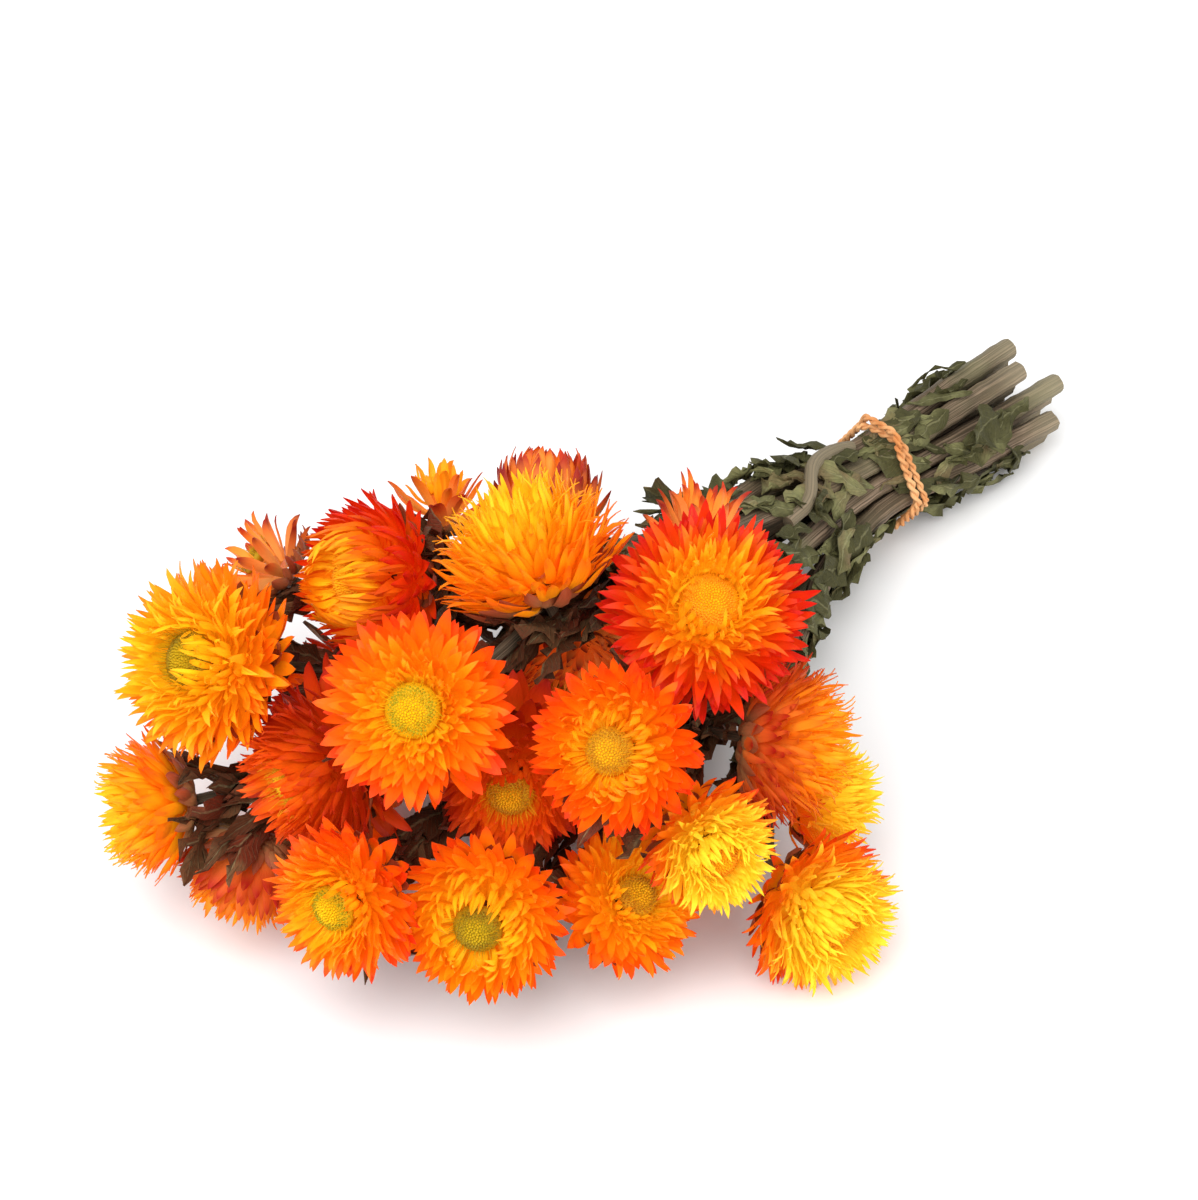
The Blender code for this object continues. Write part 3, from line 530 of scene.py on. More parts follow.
def repeated(template, count):
    """A mesh that holds the template many times, copy after copy."""
    holder = bpy.data.objects.new("copies", template)
    bpy.context.scene.collection.objects.link(holder)
    copies = holder.modifiers.new("copies", "ARRAY")
    copies.use_relative_offset = False
    copies.count = count
    scene_view = bpy.context.evaluated_depsgraph_get()
    mesh = bpy.data.meshes.new_from_object(holder.evaluated_get(scene_view))
    bpy.data.objects.remove(holder)
    return mesh


def slat_rings(sheets, thickness):
    """Rings of corners round blades of a thickness, from the middle sheets of the blades."""
    across = np.linspace(-1.0, 1.0, sheets.shape[-2])
    lengthwise = np.gradient(sheets, axis=-3)
    crosswise = np.gradient(sheets, axis=-2)
    normal = np.cross(lengthwise, crosswise)
    normal /= np.linalg.norm(normal, axis=-1, keepdims=True) + 1e-9
    offset = normal * ((1 - across**2) * thickness / 2)[:, None]
    return np.concatenate((sheets + offset, (sheets - offset)[..., -2:0:-1, :]), axis=-2)


def round_slats(values):
    """Numbers across a sheet, repeated for both faces of a slat."""
    return np.concatenate((values, values[..., -2:0:-1]), axis=-1)


class Piece:
    """One shape being modelled, with the numbers that its points carry."""

    def __init__(self, finishes):
        self.finishes = finishes
        self.shape = bmesh.new()
        layers = self.shape.verts.layers.float
        self.carries = [layers.new(name) for name in CARRIED]

    def mark(self, corner, *numbers):
        for layer, number in zip(self.carries, numbers):
            corner[layer] = number

    def take(self, template, points, numbers, finish=0):
        """Adds copies of a template, moved to places in millimetres and carrying numbers."""
        mesh = repeated(template, len(points))
        mesh.vertices.foreach_set("co", (points + UNDER_TIE).ravel() * MM)
        for name, values in zip(CARRIED, numbers):
            spread = np.broadcast_to(values, points.shape[:-1]).astype(np.float32)
            mesh.attributes.new(name, "FLOAT", "POINT").data.foreach_set("value", spread.ravel())
        mesh.polygons.foreach_set("material_index", np.resize(finish, len(mesh.polygons)).tolist())
        self.shape.from_mesh(mesh)
        bpy.data.meshes.remove(mesh)

    def take_blades(self, template, sheets, row, chances, thickness, finish=0):
        """Adds blades shaped from their middle sheets, one sheet to a blade."""
        lengths, widths = sheets.shape[1], sheets.shape[2]
        across = round_slats(np.linspace(-1.0, 1.0, widths))
        along = np.linspace(0.0, 1.0, lengths)
        rings = slat_rings(sheets, thickness)
        luck = np.asarray(chances)[:, None, None]
        self.take(template, rings, (along[:, None], across, row, luck), finish)

    def finish_as(self, name, node, angle=50.0):
        """The finished object, riding on the bunch in place of its plain solid."""
        bmesh.ops.recalc_face_normals(self.shape, faces=self.shape.faces[:])
        mesh = bpy.data.meshes.new(name)
        self.shape.to_mesh(mesh)
        self.shape.free()
        for finish in self.finishes:
            mesh.materials.append(finish)
        mesh.shade_smooth()
        mesh.set_sharp_from_angle(angle=math.radians(angle))
        piece = bpy.data.objects.new(name, mesh)
        bpy.context.scene.collection.objects.link(piece)
        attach(piece, "root")
        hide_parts(node)
        return piece


class Head:
    """The place, size and facing of one bloom."""

    def __init__(self, name):
        place, yaw, pitch, self.radius, self.form, self.colour, self.tone, self.style = BLOOMS[name]
        self.name = name
        self.axis = facing(yaw, pitch)
        self.base = np.array(place, dtype=float) - HEAD_MIDDLE * self.radius * self.axis
        self.side, self.rise = square_to(self.axis)
        self.presses = []

    def spread(self, reach, height, turn):
        """Places for whole arrays of reaches, heights and turns."""
        across = np.cos(turn)[..., None] * self.side + np.sin(turn)[..., None] * self.rise
        rise = (height * HEAD_DEPTH)[..., None] * self.axis
        return self.base + self.radius * (reach[..., None] * across + rise)

    def envelope(self):
        """The rounded outline of the head as rings of points."""
        tips, floor = FORMS[self.form]
        rings = ((BASE_RADIUS, 0.0), SCALE_TIPS[0], *tips, (0.2, floor))
        turns = np.arange(ENVELOPE_SIDES) * math.tau / ENVELOPE_SIDES
        return np.vstack([self.spread(np.full(len(turns), reach), np.full(len(turns), height), turns)
                          for reach, height in rings])


def bend_back(points, middle, way, level):
    """Points past a level along a way are drawn towards the middle until they are on it."""
    own = middle @ way
    reach = points @ way
    past = reach > level
    share = np.where(past, (level - own) / np.maximum(reach - own, 1e-6), 1.0)
    return middle + (points - middle) * np.clip(share, 0.0, 1.0)[:, None]


def press_apart(heads):
    """Where two blooms would cross, both are bent back from a plane between them."""
    hulls = {head.name: head.envelope() for head in heads}
    for one, head in enumerate(heads):
        for other in heads[one + 1:]:
            hull, far = hulls[head.name], hulls[other.name]
            middle, far_middle = hull.mean(axis=0), far.mean(axis=0)
            apart = far_middle - middle
            if np.linalg.norm(apart) > head.radius + other.radius + 4.0:
                continue
            ways = [unit(apart)]
            for axis in (head.axis, -head.axis, other.axis, -other.axis):
                for share in (0.35, 0.7, 1.2, 2.5):
                    way = unit(unit(apart) + share * axis)
                    if way @ unit(apart) > 0.3:
                        ways.append(way)
            depths = [(hull @ way).max() - (far @ way).min() for way in ways]
            best = int(np.argmin(depths))
            if depths[best] < -0.7:
                continue
            way = ways[best]
            level = ((hull @ way).max() + (far @ way).min()) / 2
            head.presses.append((middle, way, level))
            other.presses.append((far_middle, -way, -level))
            hulls[head.name] = bend_back(hull, middle, way, level)
            hulls[other.name] = bend_back(far, far_middle, -way, -level)


def along_tips(tips, share):
    """Reach and height of the tips of a row, at a share of the way from the lowest row up."""
    spot = share * (len(tips) - 1)
    low = min(int(spot), len(tips) - 2)
    return tuple(blend((tips[low][index], tips[low + 1][index]), spot - low) for index in (0, 1))


class Row:
    """One row of bracts: where it starts and ends, and the manner of its bracts."""

    def __init__(self, root, tip, share, manner):
        self.root = root
        self.tip = tip
        self.share = share
        self.half, self.cover, self.ragged, self.twist, self.belly, self.flick, self.trough = manner


def bract_rows(head):
    style = STYLES[head.style]
    tips, floor = FORMS[head.form]
    reach, rise = style["inmost"]
    tips = (*tips, (reach, tips[-1][1] + rise))
    rows = []
    for share in np.linspace(0.0, 1.0, style["rows"]):
        root = (0.20 + 0.07 * share, 0.03 + (floor - 0.06) * share)
        half = blend(style["half"], 1 - (1 - share) ** 1.3)
        manner = [blend(style[key], share) for key in ("cover", "ragged", "twist", "belly", "flick", "trough")]
        rows.append(Row(root, along_tips(tips, share), share, (half, *manner)))
    return rows


def skirt_rows():
    """Long outer bracts that have dried and swept back under a bloom."""
    manner = (SKIRT_HALF, 0.85, 0.12, 0.4, 0.05, 0.03, 0.4)
    return [Row((0.20, 0.0), tip, 0.0, manner) for tip in SKIRT_TIPS]


def scale_rows():
    """The short scales that lap over each other up the cup under a bloom."""
    rows = []
    for index, tip in enumerate(SCALE_TIPS):
        root = (0.12 + 0.04 * index, -0.10 + 0.045 * index)
        rows.append(Row(root, tip, 0.0, (SCALE_HALF, 1.0, 0.05, 0.12, 0.16, -0.02, 0.35)))
    return rows


def bract_width(along):
    """Half width of a bract along its length, in parts of its widest."""
    swell = 0.45 + 0.55 * np.sin(np.clip(along / 0.5, 0, 1) * math.pi / 2)
    taper = np.clip(1.0 - np.clip((along - 0.6) / 0.4, 0, 1) ** 2, 0, 1) ** 0.75
    return swell * (0.04 + 0.96 * taper)


def bract_steps(lengths):
    """Shares of a bract's length at its rings, closer together towards the tip."""
    even = np.linspace(0.0, 1.0, lengths + 1)
    return 1 - (1 - even) ** 1.45


def lay_row(head, row, lengths, widths, chance):
    """The middle sheets of every bract in a row, from root to tip, and their chances."""
    middle_reach = 0.35 * row.root[0] + 0.65 * row.tip[0]
    count = max(7, round(math.tau * middle_reach * row.cover / (2 * row.half)))
    luck = np.array([[chance.uniform(-1.0, 1.0) for _ in range(9)] for _ in range(count)])
    start = chance.uniform(0.0, math.tau)
    turn = start + (np.arange(count) + 0.36 * luck[:, 0]) * math.tau / count
    reach = row.tip[0] * (1.0 + row.ragged * luck[:, 1] - row.ragged * 0.4)
    height = row.tip[1] + row.ragged * 0.9 * luck[:, 2]
    half = row.half * (1.0 + 0.22 * luck[:, 3])
    along = bract_steps(lengths)
    across = np.linspace(-1.0, 1.0, widths + 1)
    chord = np.stack((reach - row.root[0], height - row.root[1]), axis=1)
    length = np.linalg.norm(chord * (1.0, HEAD_DEPTH), axis=1)
    outward = np.stack((chord[:, 1], -chord[:, 0]), axis=1)
    belly = (row.belly + 0.07 * luck[:, 4])[:, None]
    flick = (row.flick + (0.03 + 0.7 * abs(row.flick)) * luck[:, 5])[:, None]
    bulge = 4 * along * (1 - along)
    lip = np.clip((along - 0.7) / 0.3, 0, 1) ** 2
    swing = belly * bulge + flick * lip
    path_reach = row.root[0] + chord[:, :1] * along + outward[:, :1] * swing
    path_height = row.root[1] + chord[:, 1:] * along + outward[:, 1:] * swing
    sideways = (0.10 * luck[:, 6])[:, None] * along**2 * length[:, None]
    twist = (row.twist * luck[:, 7])[:, None] * along**1.5
    slope_reach = np.gradient(path_reach, along, axis=1)
    slope_height = np.gradient(path_height, along, axis=1)
    size = np.hypot(slope_reach, slope_height)
    up_reach, up_height = -slope_height / size, slope_reach / size
    wide = half[:, None] * bract_width(along)
    trough = row.trough * (1.0 + 0.5 * luck[:, 8])[:, None, None] * wide[..., None] * across**2
    flat = wide[..., None] * across * (1 - 0.30 * row.trough * across**2)
    off_side = flat * np.cos(twist)[..., None] - trough * np.sin(twist)[..., None]
    off_up = flat * np.sin(twist)[..., None] + trough * np.cos(twist)[..., None]
    spot_reach = path_reach[..., None] + up_reach[..., None] * off_up
    spot_height = path_height[..., None] + up_height[..., None] * off_up
    spot_side = off_side + sideways[..., None]
    turns = turn[:, None, None] + 0.0 * spot_reach
    points = head.spread(spot_reach, spot_height, turns)
    way = -np.sin(turns)[..., None] * head.side + np.cos(turns)[..., None] * head.rise
    return points + head.radius * spot_side[..., None] * way, luck


def keep_clear(head, points, luck):
    """Bends bracts back from the blooms that press on them, and from the surface below."""
    shape = points.shape
    loose = np.repeat(0.9 * luck[:, 2] + 0.4, shape[1] * shape[2])
    flat = points.reshape(-1, 3)
    for middle, way, level in head.presses:
        flat = bend_back(flat, middle, way, level + loose)
    low = FLOOR_GAP + 0.5 + 0.5 * np.repeat(luck[:, 5], shape[1] * shape[2])
    flat[:, 2] = np.maximum(flat[:, 2], low + 0.01 * (flat[:, 2] + 30))
    return flat.reshape(shape)


def model_bracts(head, chance):
    """All the bracts of a bloom, with the scales under it."""
    colour = OWN_COLOURS.get(head.name, head.colour)
    piece = Piece((papery_finish_of(colour), FINISHES["scales"]))
    skirt = skirt_rows() if head.name in SKIRTED else []
    for number, row in enumerate(scale_rows() + skirt + bract_rows(head)):
        is_scale = number < len(SCALE_TIPS)
        slim = not is_scale and row.share > SLIM_FROM and head.style != "bud"
        lengths, sides = SLIM_BRACT if slim else WIDE_BRACT
        sheets, luck = lay_row(head, row, lengths, sides // 2, chance)
        sheets = keep_clear(head, sheets, luck)
        chances = 0.5 + 0.5 * luck[:, 0]
        piece.take_blades(SLATS[lengths, sides], sheets, row.share, chances, BRACT_THICK, int(is_scale))
    return piece.finish_as(head.name.replace("bloom", "bracts"), head.name)


def model_florets(head, chance):
    """The disc of a bloom: a soft dome crowded with florets, and fine hairs round its rim."""
    piece = Piece((FINISHES[head.tone],))
    floor = FORMS[head.form][1] + 0.03
    reach = DISC_REACH * head.radius
    centre = head.base + head.axis * floor * HEAD_DEPTH * head.radius
    turn = Vector(head.axis).to_track_quat("Z", "Y").to_matrix().to_4x4()
    stand = Matrix.Translation(Vector(centre + UNDER_TIE) * MM) @ turn
    dome = bmesh.ops.create_uvsphere(piece.shape, u_segments=20, v_segments=10, radius=reach * MM,
                                     matrix=stand @ Matrix.Diagonal((1.14, 1.14, 0.44, 1.0)))["verts"]
    for corner in dome:
        corner.co.z = max(corner.co.z, FLOOR_GAP * MM)
        piece.mark(corner, 0.3, 0.0, 0.6, 0.3)
    count = round(0.3 * head.radius**2)
    share = np.sqrt((np.arange(count) + 0.5) / count)
    angle = np.arange(count) * math.pi * (3 - math.sqrt(5))
    luck = np.array([[chance.random() for _ in range(3)] for _ in range(count)])
    radial = np.cos(angle)[:, None] * head.side + np.sin(angle)[:, None] * head.rise
    sideways = np.cross(head.axis, radial)
    lean = 0.9 * share**2 + 0.3 * (luck[:, 0] - 0.5)
    way = np.cos(lean)[:, None] * head.axis + np.sin(lean)[:, None] * radial
    other = np.cross(way, sideways)
    dome_height = 0.46 * np.sqrt(np.maximum(0.0, 1 - share**2 * 0.94))
    roots = centre + reach * (0.96 * share[:, None] * radial + dome_height[:, None] * head.axis)
    thick = reach * 0.88 / math.sqrt(count) * (0.9 + 0.3 * luck[:, 1])
    tall = thick * (1.5 + 0.8 * luck[:, 2])
    bead = np.array([corner.co for corner in SEED_BEAD.vertices])
    points = (roots[:, None] + (thick[:, None] * bead[:, 0])[..., None] * sideways[:, None]
              + (thick[:, None] * bead[:, 1])[..., None] * other[:, None]
              + (tall[:, None] * bead[:, 2])[..., None] * way[:, None])
    numbers = (0.5 + 0.5 * bead[:, 2], 0.0, share[:, None], luck[:, 1:2])
    piece.take(SEED_BEAD, keep_above(points), numbers)
    add_hairs(piece, head, centre, reach, chance)
    return piece.finish_as(head.name.replace("bloom", "florets"), head.name.replace("bloom", "disc"))


def add_hairs(piece, head, centre, reach, chance):
    """Fine hairs that stand round the rim of a disc and lean in and out."""
    count = 90
    luck = np.array([[chance.random() for _ in range(4)] for _ in range(count)])
    angle = math.tau * (np.arange(count) + luck[:, 0]) / count
    radial = np.cos(angle)[:, None] * head.side + np.sin(angle)[:, None] * head.rise
    sideways = np.cross(head.axis, radial)
    lean = blend((-0.7, 1.0), luck[:, 1])
    way = np.cos(lean)[:, None] * head.axis + np.sin(lean)[:, None] * radial
    way = way + (luck[:, 2:3] - 0.5) * 0.5 * sideways
    roots = centre + reach * ((0.86 + 0.2 * luck[:, 3:4]) * radial + 0.12 * head.axis)
    lengths, sides = HAIR
    along = np.linspace(0.0, 1.0, lengths + 1)
    tall = reach * blend((0.45, 1.05), luck[:, 2])
    middles = roots[:, None] + way[:, None] * (tall[:, None] * along)[..., None]
    turns = np.arange(sides) * math.tau / sides
    wide = 0.13 - 0.08 * along
    ring = (np.cos(turns)[:, None] * sideways[:, None, None]
            + np.sin(turns)[:, None] * np.cross(way, sideways)[:, None, None])
    points = middles[:, :, None] + ring * wide[None, :, None, None]
    piece.take(SLATS[HAIR], keep_above(points), (0.75 + 0.25 * along[:, None], 0.0, 0.55, luck[:, 0, None, None]))


def keep_above(points, gap=FLOOR_GAP):
    """Points kept clear of the surface below."""
    points[..., 2] = np.maximum(points[..., 2], gap)
    return points


def curve(start, pull, reach, end, count):
    """Points on a smooth curve from one place to another, with the ways it leaves and arrives."""
    steps = np.linspace(0.0, 1.0, count)[:, None]
    back = 1.0 - steps
    return (back**3 * start + 3 * back**2 * steps * pull + 3 * back * steps**2 * reach
            + steps**3 * end)


class Route:
    """The middle line of a stem or branch, with its thickness at each point."""

    def __init__(self, stem, head, points, radii, held):
        self.stem = stem
        self.head = head
        self.points = points
        self.radii = radii
        self.held = held


def lay_routes(heads):
    """A main line for each stem and one for each branch, drawn before they are eased apart."""
    routes = []
    for stem, ((across, up), reach, carried) in STEMS.items():
        place = np.array((0.0, across, up))
        tie = TIE_MIDDLE + place
        cut = tie + BUNDLE_WAY * reach + place * CUT_SPREAD
        mouth = tie - BUNDLE_WAY * MOUTH_REACH + place * MOUTH_SPREAD
        held = np.array((cut, (cut + tie) / 2, tie + BUNDLE_WAY * HELD_PAST_TIE,
                         tie - BUNDLE_WAY * HELD_BEFORE_TIE))
        main = np.vstack((held, reach_head(mouth, mouth - tie, heads[carried[0]], STEM_POINTS)))
        taper = STEM_RADIUS - (STEM_RADIUS - NECK_RADIUS) * np.linspace(0.0, 1.0, STEM_POINTS) ** 0.7
        radii = np.concatenate((np.full(len(held), STEM_RADIUS), taper))
        routes.append(Route(stem, carried[0], main, radii, (len(held) + 1, 2)))
        for order, name in enumerate(carried[1:]):
            fork = len(held) + 1 - order
            bend = reach_head(main[fork], main[fork + 1] - main[fork - 1], heads[name], BRANCH_POINTS)
            radii = np.linspace(BRANCH_RADIUS, NECK_RADIUS, BRANCH_POINTS)
            routes.append(Route(stem, name, bend, radii, (1, 2)))
    return routes


def reach_head(start, way, head, count):
    """A curve that leaves one place along a way and comes up to a bloom from behind."""
    neck = head.base - NECK_LENGTH * head.axis
    span = np.linalg.norm(neck - start)
    pull = start + unit(way) * span * 0.35
    return curve(start, pull, neck - head.axis * min(30.0, span * 0.3), neck, count)


def closest(p, q, r, s):
    """For segments p-q and r-s, in rows, the shares along each of their nearest points."""
    d1, d2, w = q - p, s - r, p - r
    a = np.einsum("ij,ij->i", d1, d1) + 1e-9
    e = np.einsum("ij,ij->i", d2, d2) + 1e-9
    b = np.einsum("ij,ij->i", d1, d2)
    c = np.einsum("ij,ij->i", d1, w)
    f = np.einsum("ij,ij->i", d2, w)
    along = np.clip((b * f - c * e) / np.maximum(a * e - b * b, 1e-6), 0.0, 1.0)
    other = np.clip((b * along + f) / e, 0.0, 1.0)
    along = np.clip((b * other - c) / a, 0.0, 1.0)
    return along, other


def ease_apart(routes, heads):
    """Lines are moved, a little at a time, until none meets another stem or a bloom."""
    points = np.vstack([route.points for route in routes])
    radii = np.concatenate([route.radii for route in routes])
    loose = np.ones(len(points))
    starts, owners, shared = [], [], []
    first = 0
    for route in routes:
        count = len(route.points)
        loose[first:first + route.held[0]] = 0.0
        loose[first + count - route.held[1]:first + count] = 0.0
        starts.extend(range(first, first + count - 1))
        owners.extend([(route.stem, route.head)] * (count - 1))
        if route.held[0] == 1:
            main = next(r for r in routes if r.stem == route.stem)
            base = sum(len(r.points) for r in routes[:routes.index(main)])
            nearest = int(np.argmin(np.linalg.norm(main.points - route.points[0], axis=1)))
            shared.append((first, base + nearest))
        first += count
    starts = np.array(starts)
    stem_of = np.array([owner[0] for owner in owners])
    left, right = np.triu_indices(len(starts), 1)
    apart = stem_of[left] != stem_of[right]
    left, right = left[apart], right[apart]
    goal = points.copy()
    for _ in range(EASING_ROUNDS):
        move = np.zeros_like(points)
        a, b = starts[left], starts[right]
        along, other = closest(points[a], points[a + 1], points[b], points[b + 1])
        near = points[a] + (points[a + 1] - points[a]) * along[:, None]
        far = points[b] + (points[b + 1] - points[b]) * other[:, None]
        gap = near - far
        size = np.linalg.norm(gap, axis=1) + 1e-9
        room = (radii[a] * (1 - along) + radii[a + 1] * along
                + radii[b] * (1 - other) + radii[b + 1] * other + STEM_CLEARANCE)
        short = np.maximum(room - size, 0.0)
        hit = short > 0
        push = gap[hit] / size[hit, None] * short[hit, None] * 0.5
        np.add.at(move, a[hit], push * (1 - along[hit])[:, None])
        np.add.at(move, a[hit] + 1, push * along[hit][:, None])
        np.add.at(move, b[hit], -push * (1 - other[hit])[:, None])
        np.add.at(move, b[hit] + 1, -push * other[hit][:, None])
        for head in heads.values():
            keep_out(points, radii, starts, owners, head, move)
        points += move * loose[:, None]
        smooth = np.zeros_like(points)
        inner = (loose > 0)
        inner[0] = inner[-1] = False
        index = np.nonzero(inner)[0]
        smooth[index] = (points[index - 1] + points[index + 1]) / 2 - points[index]
        points += 0.06 * smooth * loose[:, None] + 0.01 * (goal - points) * loose[:, None]
        for child, parent in shared:
            points[child] = points[parent]
    first = 0
    for route in routes:
        route.points = points[first:first + len(route.points)]
        first += len(route.points)


def keep_out(points, radii, starts, owners, head, move):
    """Adds to the moves what keeps the lines outside a bloom's rounded form."""
    centre = head.base + head.axis * head.radius * HEAD_CORE
    for share in (0.0, 0.34, 0.67):
        spot = points[starts] * (1 - share) + points[starts + 1] * share
        thick = radii[starts] * (1 - share) + radii[starts + 1] * share + STEM_CLEARANCE
        away = spot - centre
        height = away @ head.axis
        across = away - height[:, None] * head.axis
        wide = head.radius * 1.03 + thick
        tall = head.radius * 0.62 + thick
        inside = np.sqrt((np.linalg.norm(across, axis=1) / wide) ** 2 + (height / tall) ** 2) + 1e-6
        for index in np.nonzero(inside < 1.0)[0]:
            if owners[index][1] == head.name and height[index] < 0:
                continue
            slope = unit(across[index] / wide[index] ** 2 + height[index] * head.axis / tall[index] ** 2)
            push = slope * (1.0 - inside[index]) * min(wide[index], 2.2 * tall[index]) * 0.5
            move[starts[index]] += push * (1 - share)
            move[starts[index] + 1] += push * share


def rounded(a, b, c, d, part):
    """A place between b and c on a smooth line through four points."""
    return 0.5 * (2 * b + (c - a) * part + (2 * a - 5 * b + 4 * c - d) * part**2
                  + (3 * b - a - 3 * c + d) * part**3)


def refine(points, radii, step):
    """The same line with points close together, rounded between its own points."""
    fine, thick = [], []
    padded = [2 * points[0] - points[1], *points, 2 * points[-1] - points[-2]]
    for index in range(len(points) - 1):
        a, b, c, d = padded[index:index + 4]
        count = max(2, round(np.linalg.norm(c - b) / step))
        for part in range(count):
            t = part / count
            fine.append(rounded(a, b, c, d, t))
            thick.append(radii[index] * (1 - t) + radii[index + 1] * t)
    fine.append(points[-1])
    thick.append(radii[-1])
    return np.array(fine), np.array(thick)


def model_stalk(piece, route, head, sides, chance, cut_finish):
    """A ribbed tube along a route, from a cut face or fork to the cup under its bloom."""
    points, radii = refine(route.points, route.radii, STEM_STEP)
    cup = BASE_RADIUS * head.radius * 0.98
    lift = NECK_LENGTH - 0.1
    points = np.vstack((points, [points[-1] + head.axis * lift * share for share in (0.35, 0.7, 1.0)]))
    radii = np.concatenate((radii, [radii[-1] * 1.15, (radii[-1] + cup) * 0.55, cup]))
    luck = chance.random()
    ribs = np.array([chance.uniform(-0.08, 0.08) for _ in range(sides)])
    steps = np.linalg.norm(np.diff(points, axis=0), axis=1)
    travelled = np.concatenate(([0.0], np.cumsum(steps)))
    ways = [unit(points[1] - points[0])]
    ways += [unit(after - before) for before, after in zip(points, points[2:])]
    ways.append(head.axis)
    side, _ = square_to(ways[0])
    turns = np.arange(sides) * math.tau / sides
    rings = []
    for point, radius, way, done in zip(points, radii, ways, travelled):
        side = unit(side - way * (side @ way))
        rise = np.cross(way, side)
        swollen = 0.09 * math.exp(-((done / JOINT_STEP % 1.0 - 0.5) / 0.12) ** 2)
        wrinkle = ribs * (1.0 + 0.5 * math.sin(0.16 * done + luck * 9)) + chance.uniform(-0.02, 0.02)
        wide = radius * (1.0 + wrinkle + swollen * (radius < STEM_RADIUS + 0.1))
        rings.append(point + wide[:, None] * (np.cos(turns)[:, None] * side + np.sin(turns)[:, None] * rise))
    rings = keep_above(np.array(rings)[None], 0.0)
    tube = slat(len(points) - 1, sides)
    finishes = [cut_finish * (len(face.vertices) == sides and face.center.z < 0) for face in tube.polygons]
    numbers = ((travelled * MM)[:, None], np.cos(turns), np.sin(turns), luck)
    piece.take(tube, rings, numbers, finishes)
    bpy.data.meshes.remove(tube)


def crumpled_blade(length, half, sizes, luck):
    """How far along, to the side and up each point of a crumpled leaf is, in millimetres."""
    lengths, sides = sizes
    along = np.linspace(0.0, 1.0, lengths + 1)[:, None]
    across = np.linspace(-1.0, 1.0, sides // 2 + 1)[None, :]
    outline = (0.20 + 0.80 * np.sin(math.pi * along**0.75) ** 0.7) * (1 - 0.9 * along**7)
    torn = 1 + 0.22 * np.sin(along * (8 + 7 * luck[0]) + across * 2.5 + 6 * luck[2])
    wide = half * outline * torn
    curl = 0.5 + 1.7 * luck[3]
    angle = across * curl * (0.6 + 0.5 * along)
    sideways = wide * np.sin(angle) / curl
    up = wide * (1 - np.cos(angle)) / curl * (1.0 if luck[4] > 0.4 else -0.5)
    fold = 0.20 * half * np.abs(((across * 1.3 + luck[5] * 2) % 2.0) - 1.0)
    wave = np.sin(math.tau * (along * (2.2 + 1.6 * luck[6]) + luck[1])) * np.abs(across) ** 1.4
    up = up + fold + 0.24 * half * wave
    twist = (luck[7] - 0.5) * 2.0 * along**1.3
    sideways, up = (sideways * np.cos(twist) - up * np.sin(twist),
                    sideways * np.sin(twist) + up * np.cos(twist))
    ahead = length * along * (1 - 0.10 * along) + 0.0 * across
    sideways = sideways + (luck[8] - 0.5) * 0.35 * length * along**2
    blade = np.stack((ahead, sideways, up), axis=-1)
    start = Vector((luck[0] * 90, luck[1] * 90, luck[2] * 90))
    for spot in np.ndindex(blade.shape[:2]):
        here = Vector(blade[spot])
        jolt = noise.noise_vector(here * 0.16 + start) * 1.9 + noise.noise_vector(here * 0.42 + start) * 0.7
        blade[spot] += np.array(jolt) * min(1.0, 0.25 + spot[0] / 4)
    return blade


def add_leaf(piece, points, sizes, luck):
    points = keep_above(points, FLOOR_GAP + 0.2)
    # How far among the blooms a leaf lies, which sets how much painted shade its colour takes.
    gap_shade_share = float(np.clip((AMONG_BLOOMS - points[..., 0].mean()) / 30, 0, 1))
    piece.take_blades(SLATS[sizes], points[None], gap_shade_share, [luck[9]], LEAF_THICK, 2)


class Sheath:
    """The outside of the bundle, as a stretched skin round its stems."""

    def __init__(self, routes):
        self.places = np.arange(SHEATH_LAST, SHEATH_FIRST, 2.0)
        mains = [refine(route.points, route.radii, STEM_STEP) for route in routes if route.held[0] > 1]
        turns = np.arange(SHEATH_SIDES) * math.tau / SHEATH_SIDES
        ways = np.stack((np.cos(turns), np.sin(turns)), axis=1)
        lean = np.cos(turns[:, None] - turns)
        self.middles, self.reaches = [], []
        for place in self.places:
            rounds = []
            for points, radii in mains:
                index = int(np.argmin(np.abs(points[:, 0] - place)))
                if abs(points[index, 0] - place) < STEM_STEP:
                    rounds.append((points[index, 1], points[index, 2], radii[index]))
            rounds = np.array(rounds)
            middle = rounds[:, :2].mean(axis=0)
            support = ((rounds[:, :2] - middle) @ ways.T + rounds[:, 2:]).max(axis=0)
            limits = np.where(lean > 0.2, support[None, :] / np.maximum(lean, 0.2), np.inf)
            self.middles.append(middle)
            self.reaches.append(limits.min(axis=1))
        self.middles = np.array(self.middles)
        self.reaches = np.array(self.reaches)

    def reach(self, x, turn):
        """How far the skin is from the middle of the bundle."""
        row = np.clip((x - SHEATH_LAST) / 2.0, 0, len(self.places) - 1.001)
        column = turn / math.tau * SHEATH_SIDES
        low, left = row.astype(int), np.floor(column).astype(int)
        down, over = row - low, column - left
        left, right = left % SHEATH_SIDES, (left + 1) % SHEATH_SIDES
        near = self.reaches[low, left] * (1 - over) + self.reaches[low, right] * over
        far = self.reaches[low + 1, left] * (1 - over) + self.reaches[low + 1, right] * over
        return near * (1 - down) + far * down

    def lay(self, x, turn, lift):
        """Places at a lift off the skin, from arrays along and round the bundle."""
        x = np.asarray(x, dtype=float)
        middle = np.stack([np.interp(x, self.places, self.middles[:, axis]) for axis in (0, 1)], axis=-1)
        out = self.reach(x, turn) + lift
        return np.stack((x, middle[..., 0] + out * np.cos(turn), middle[..., 1] + out * np.sin(turn)), axis=-1)


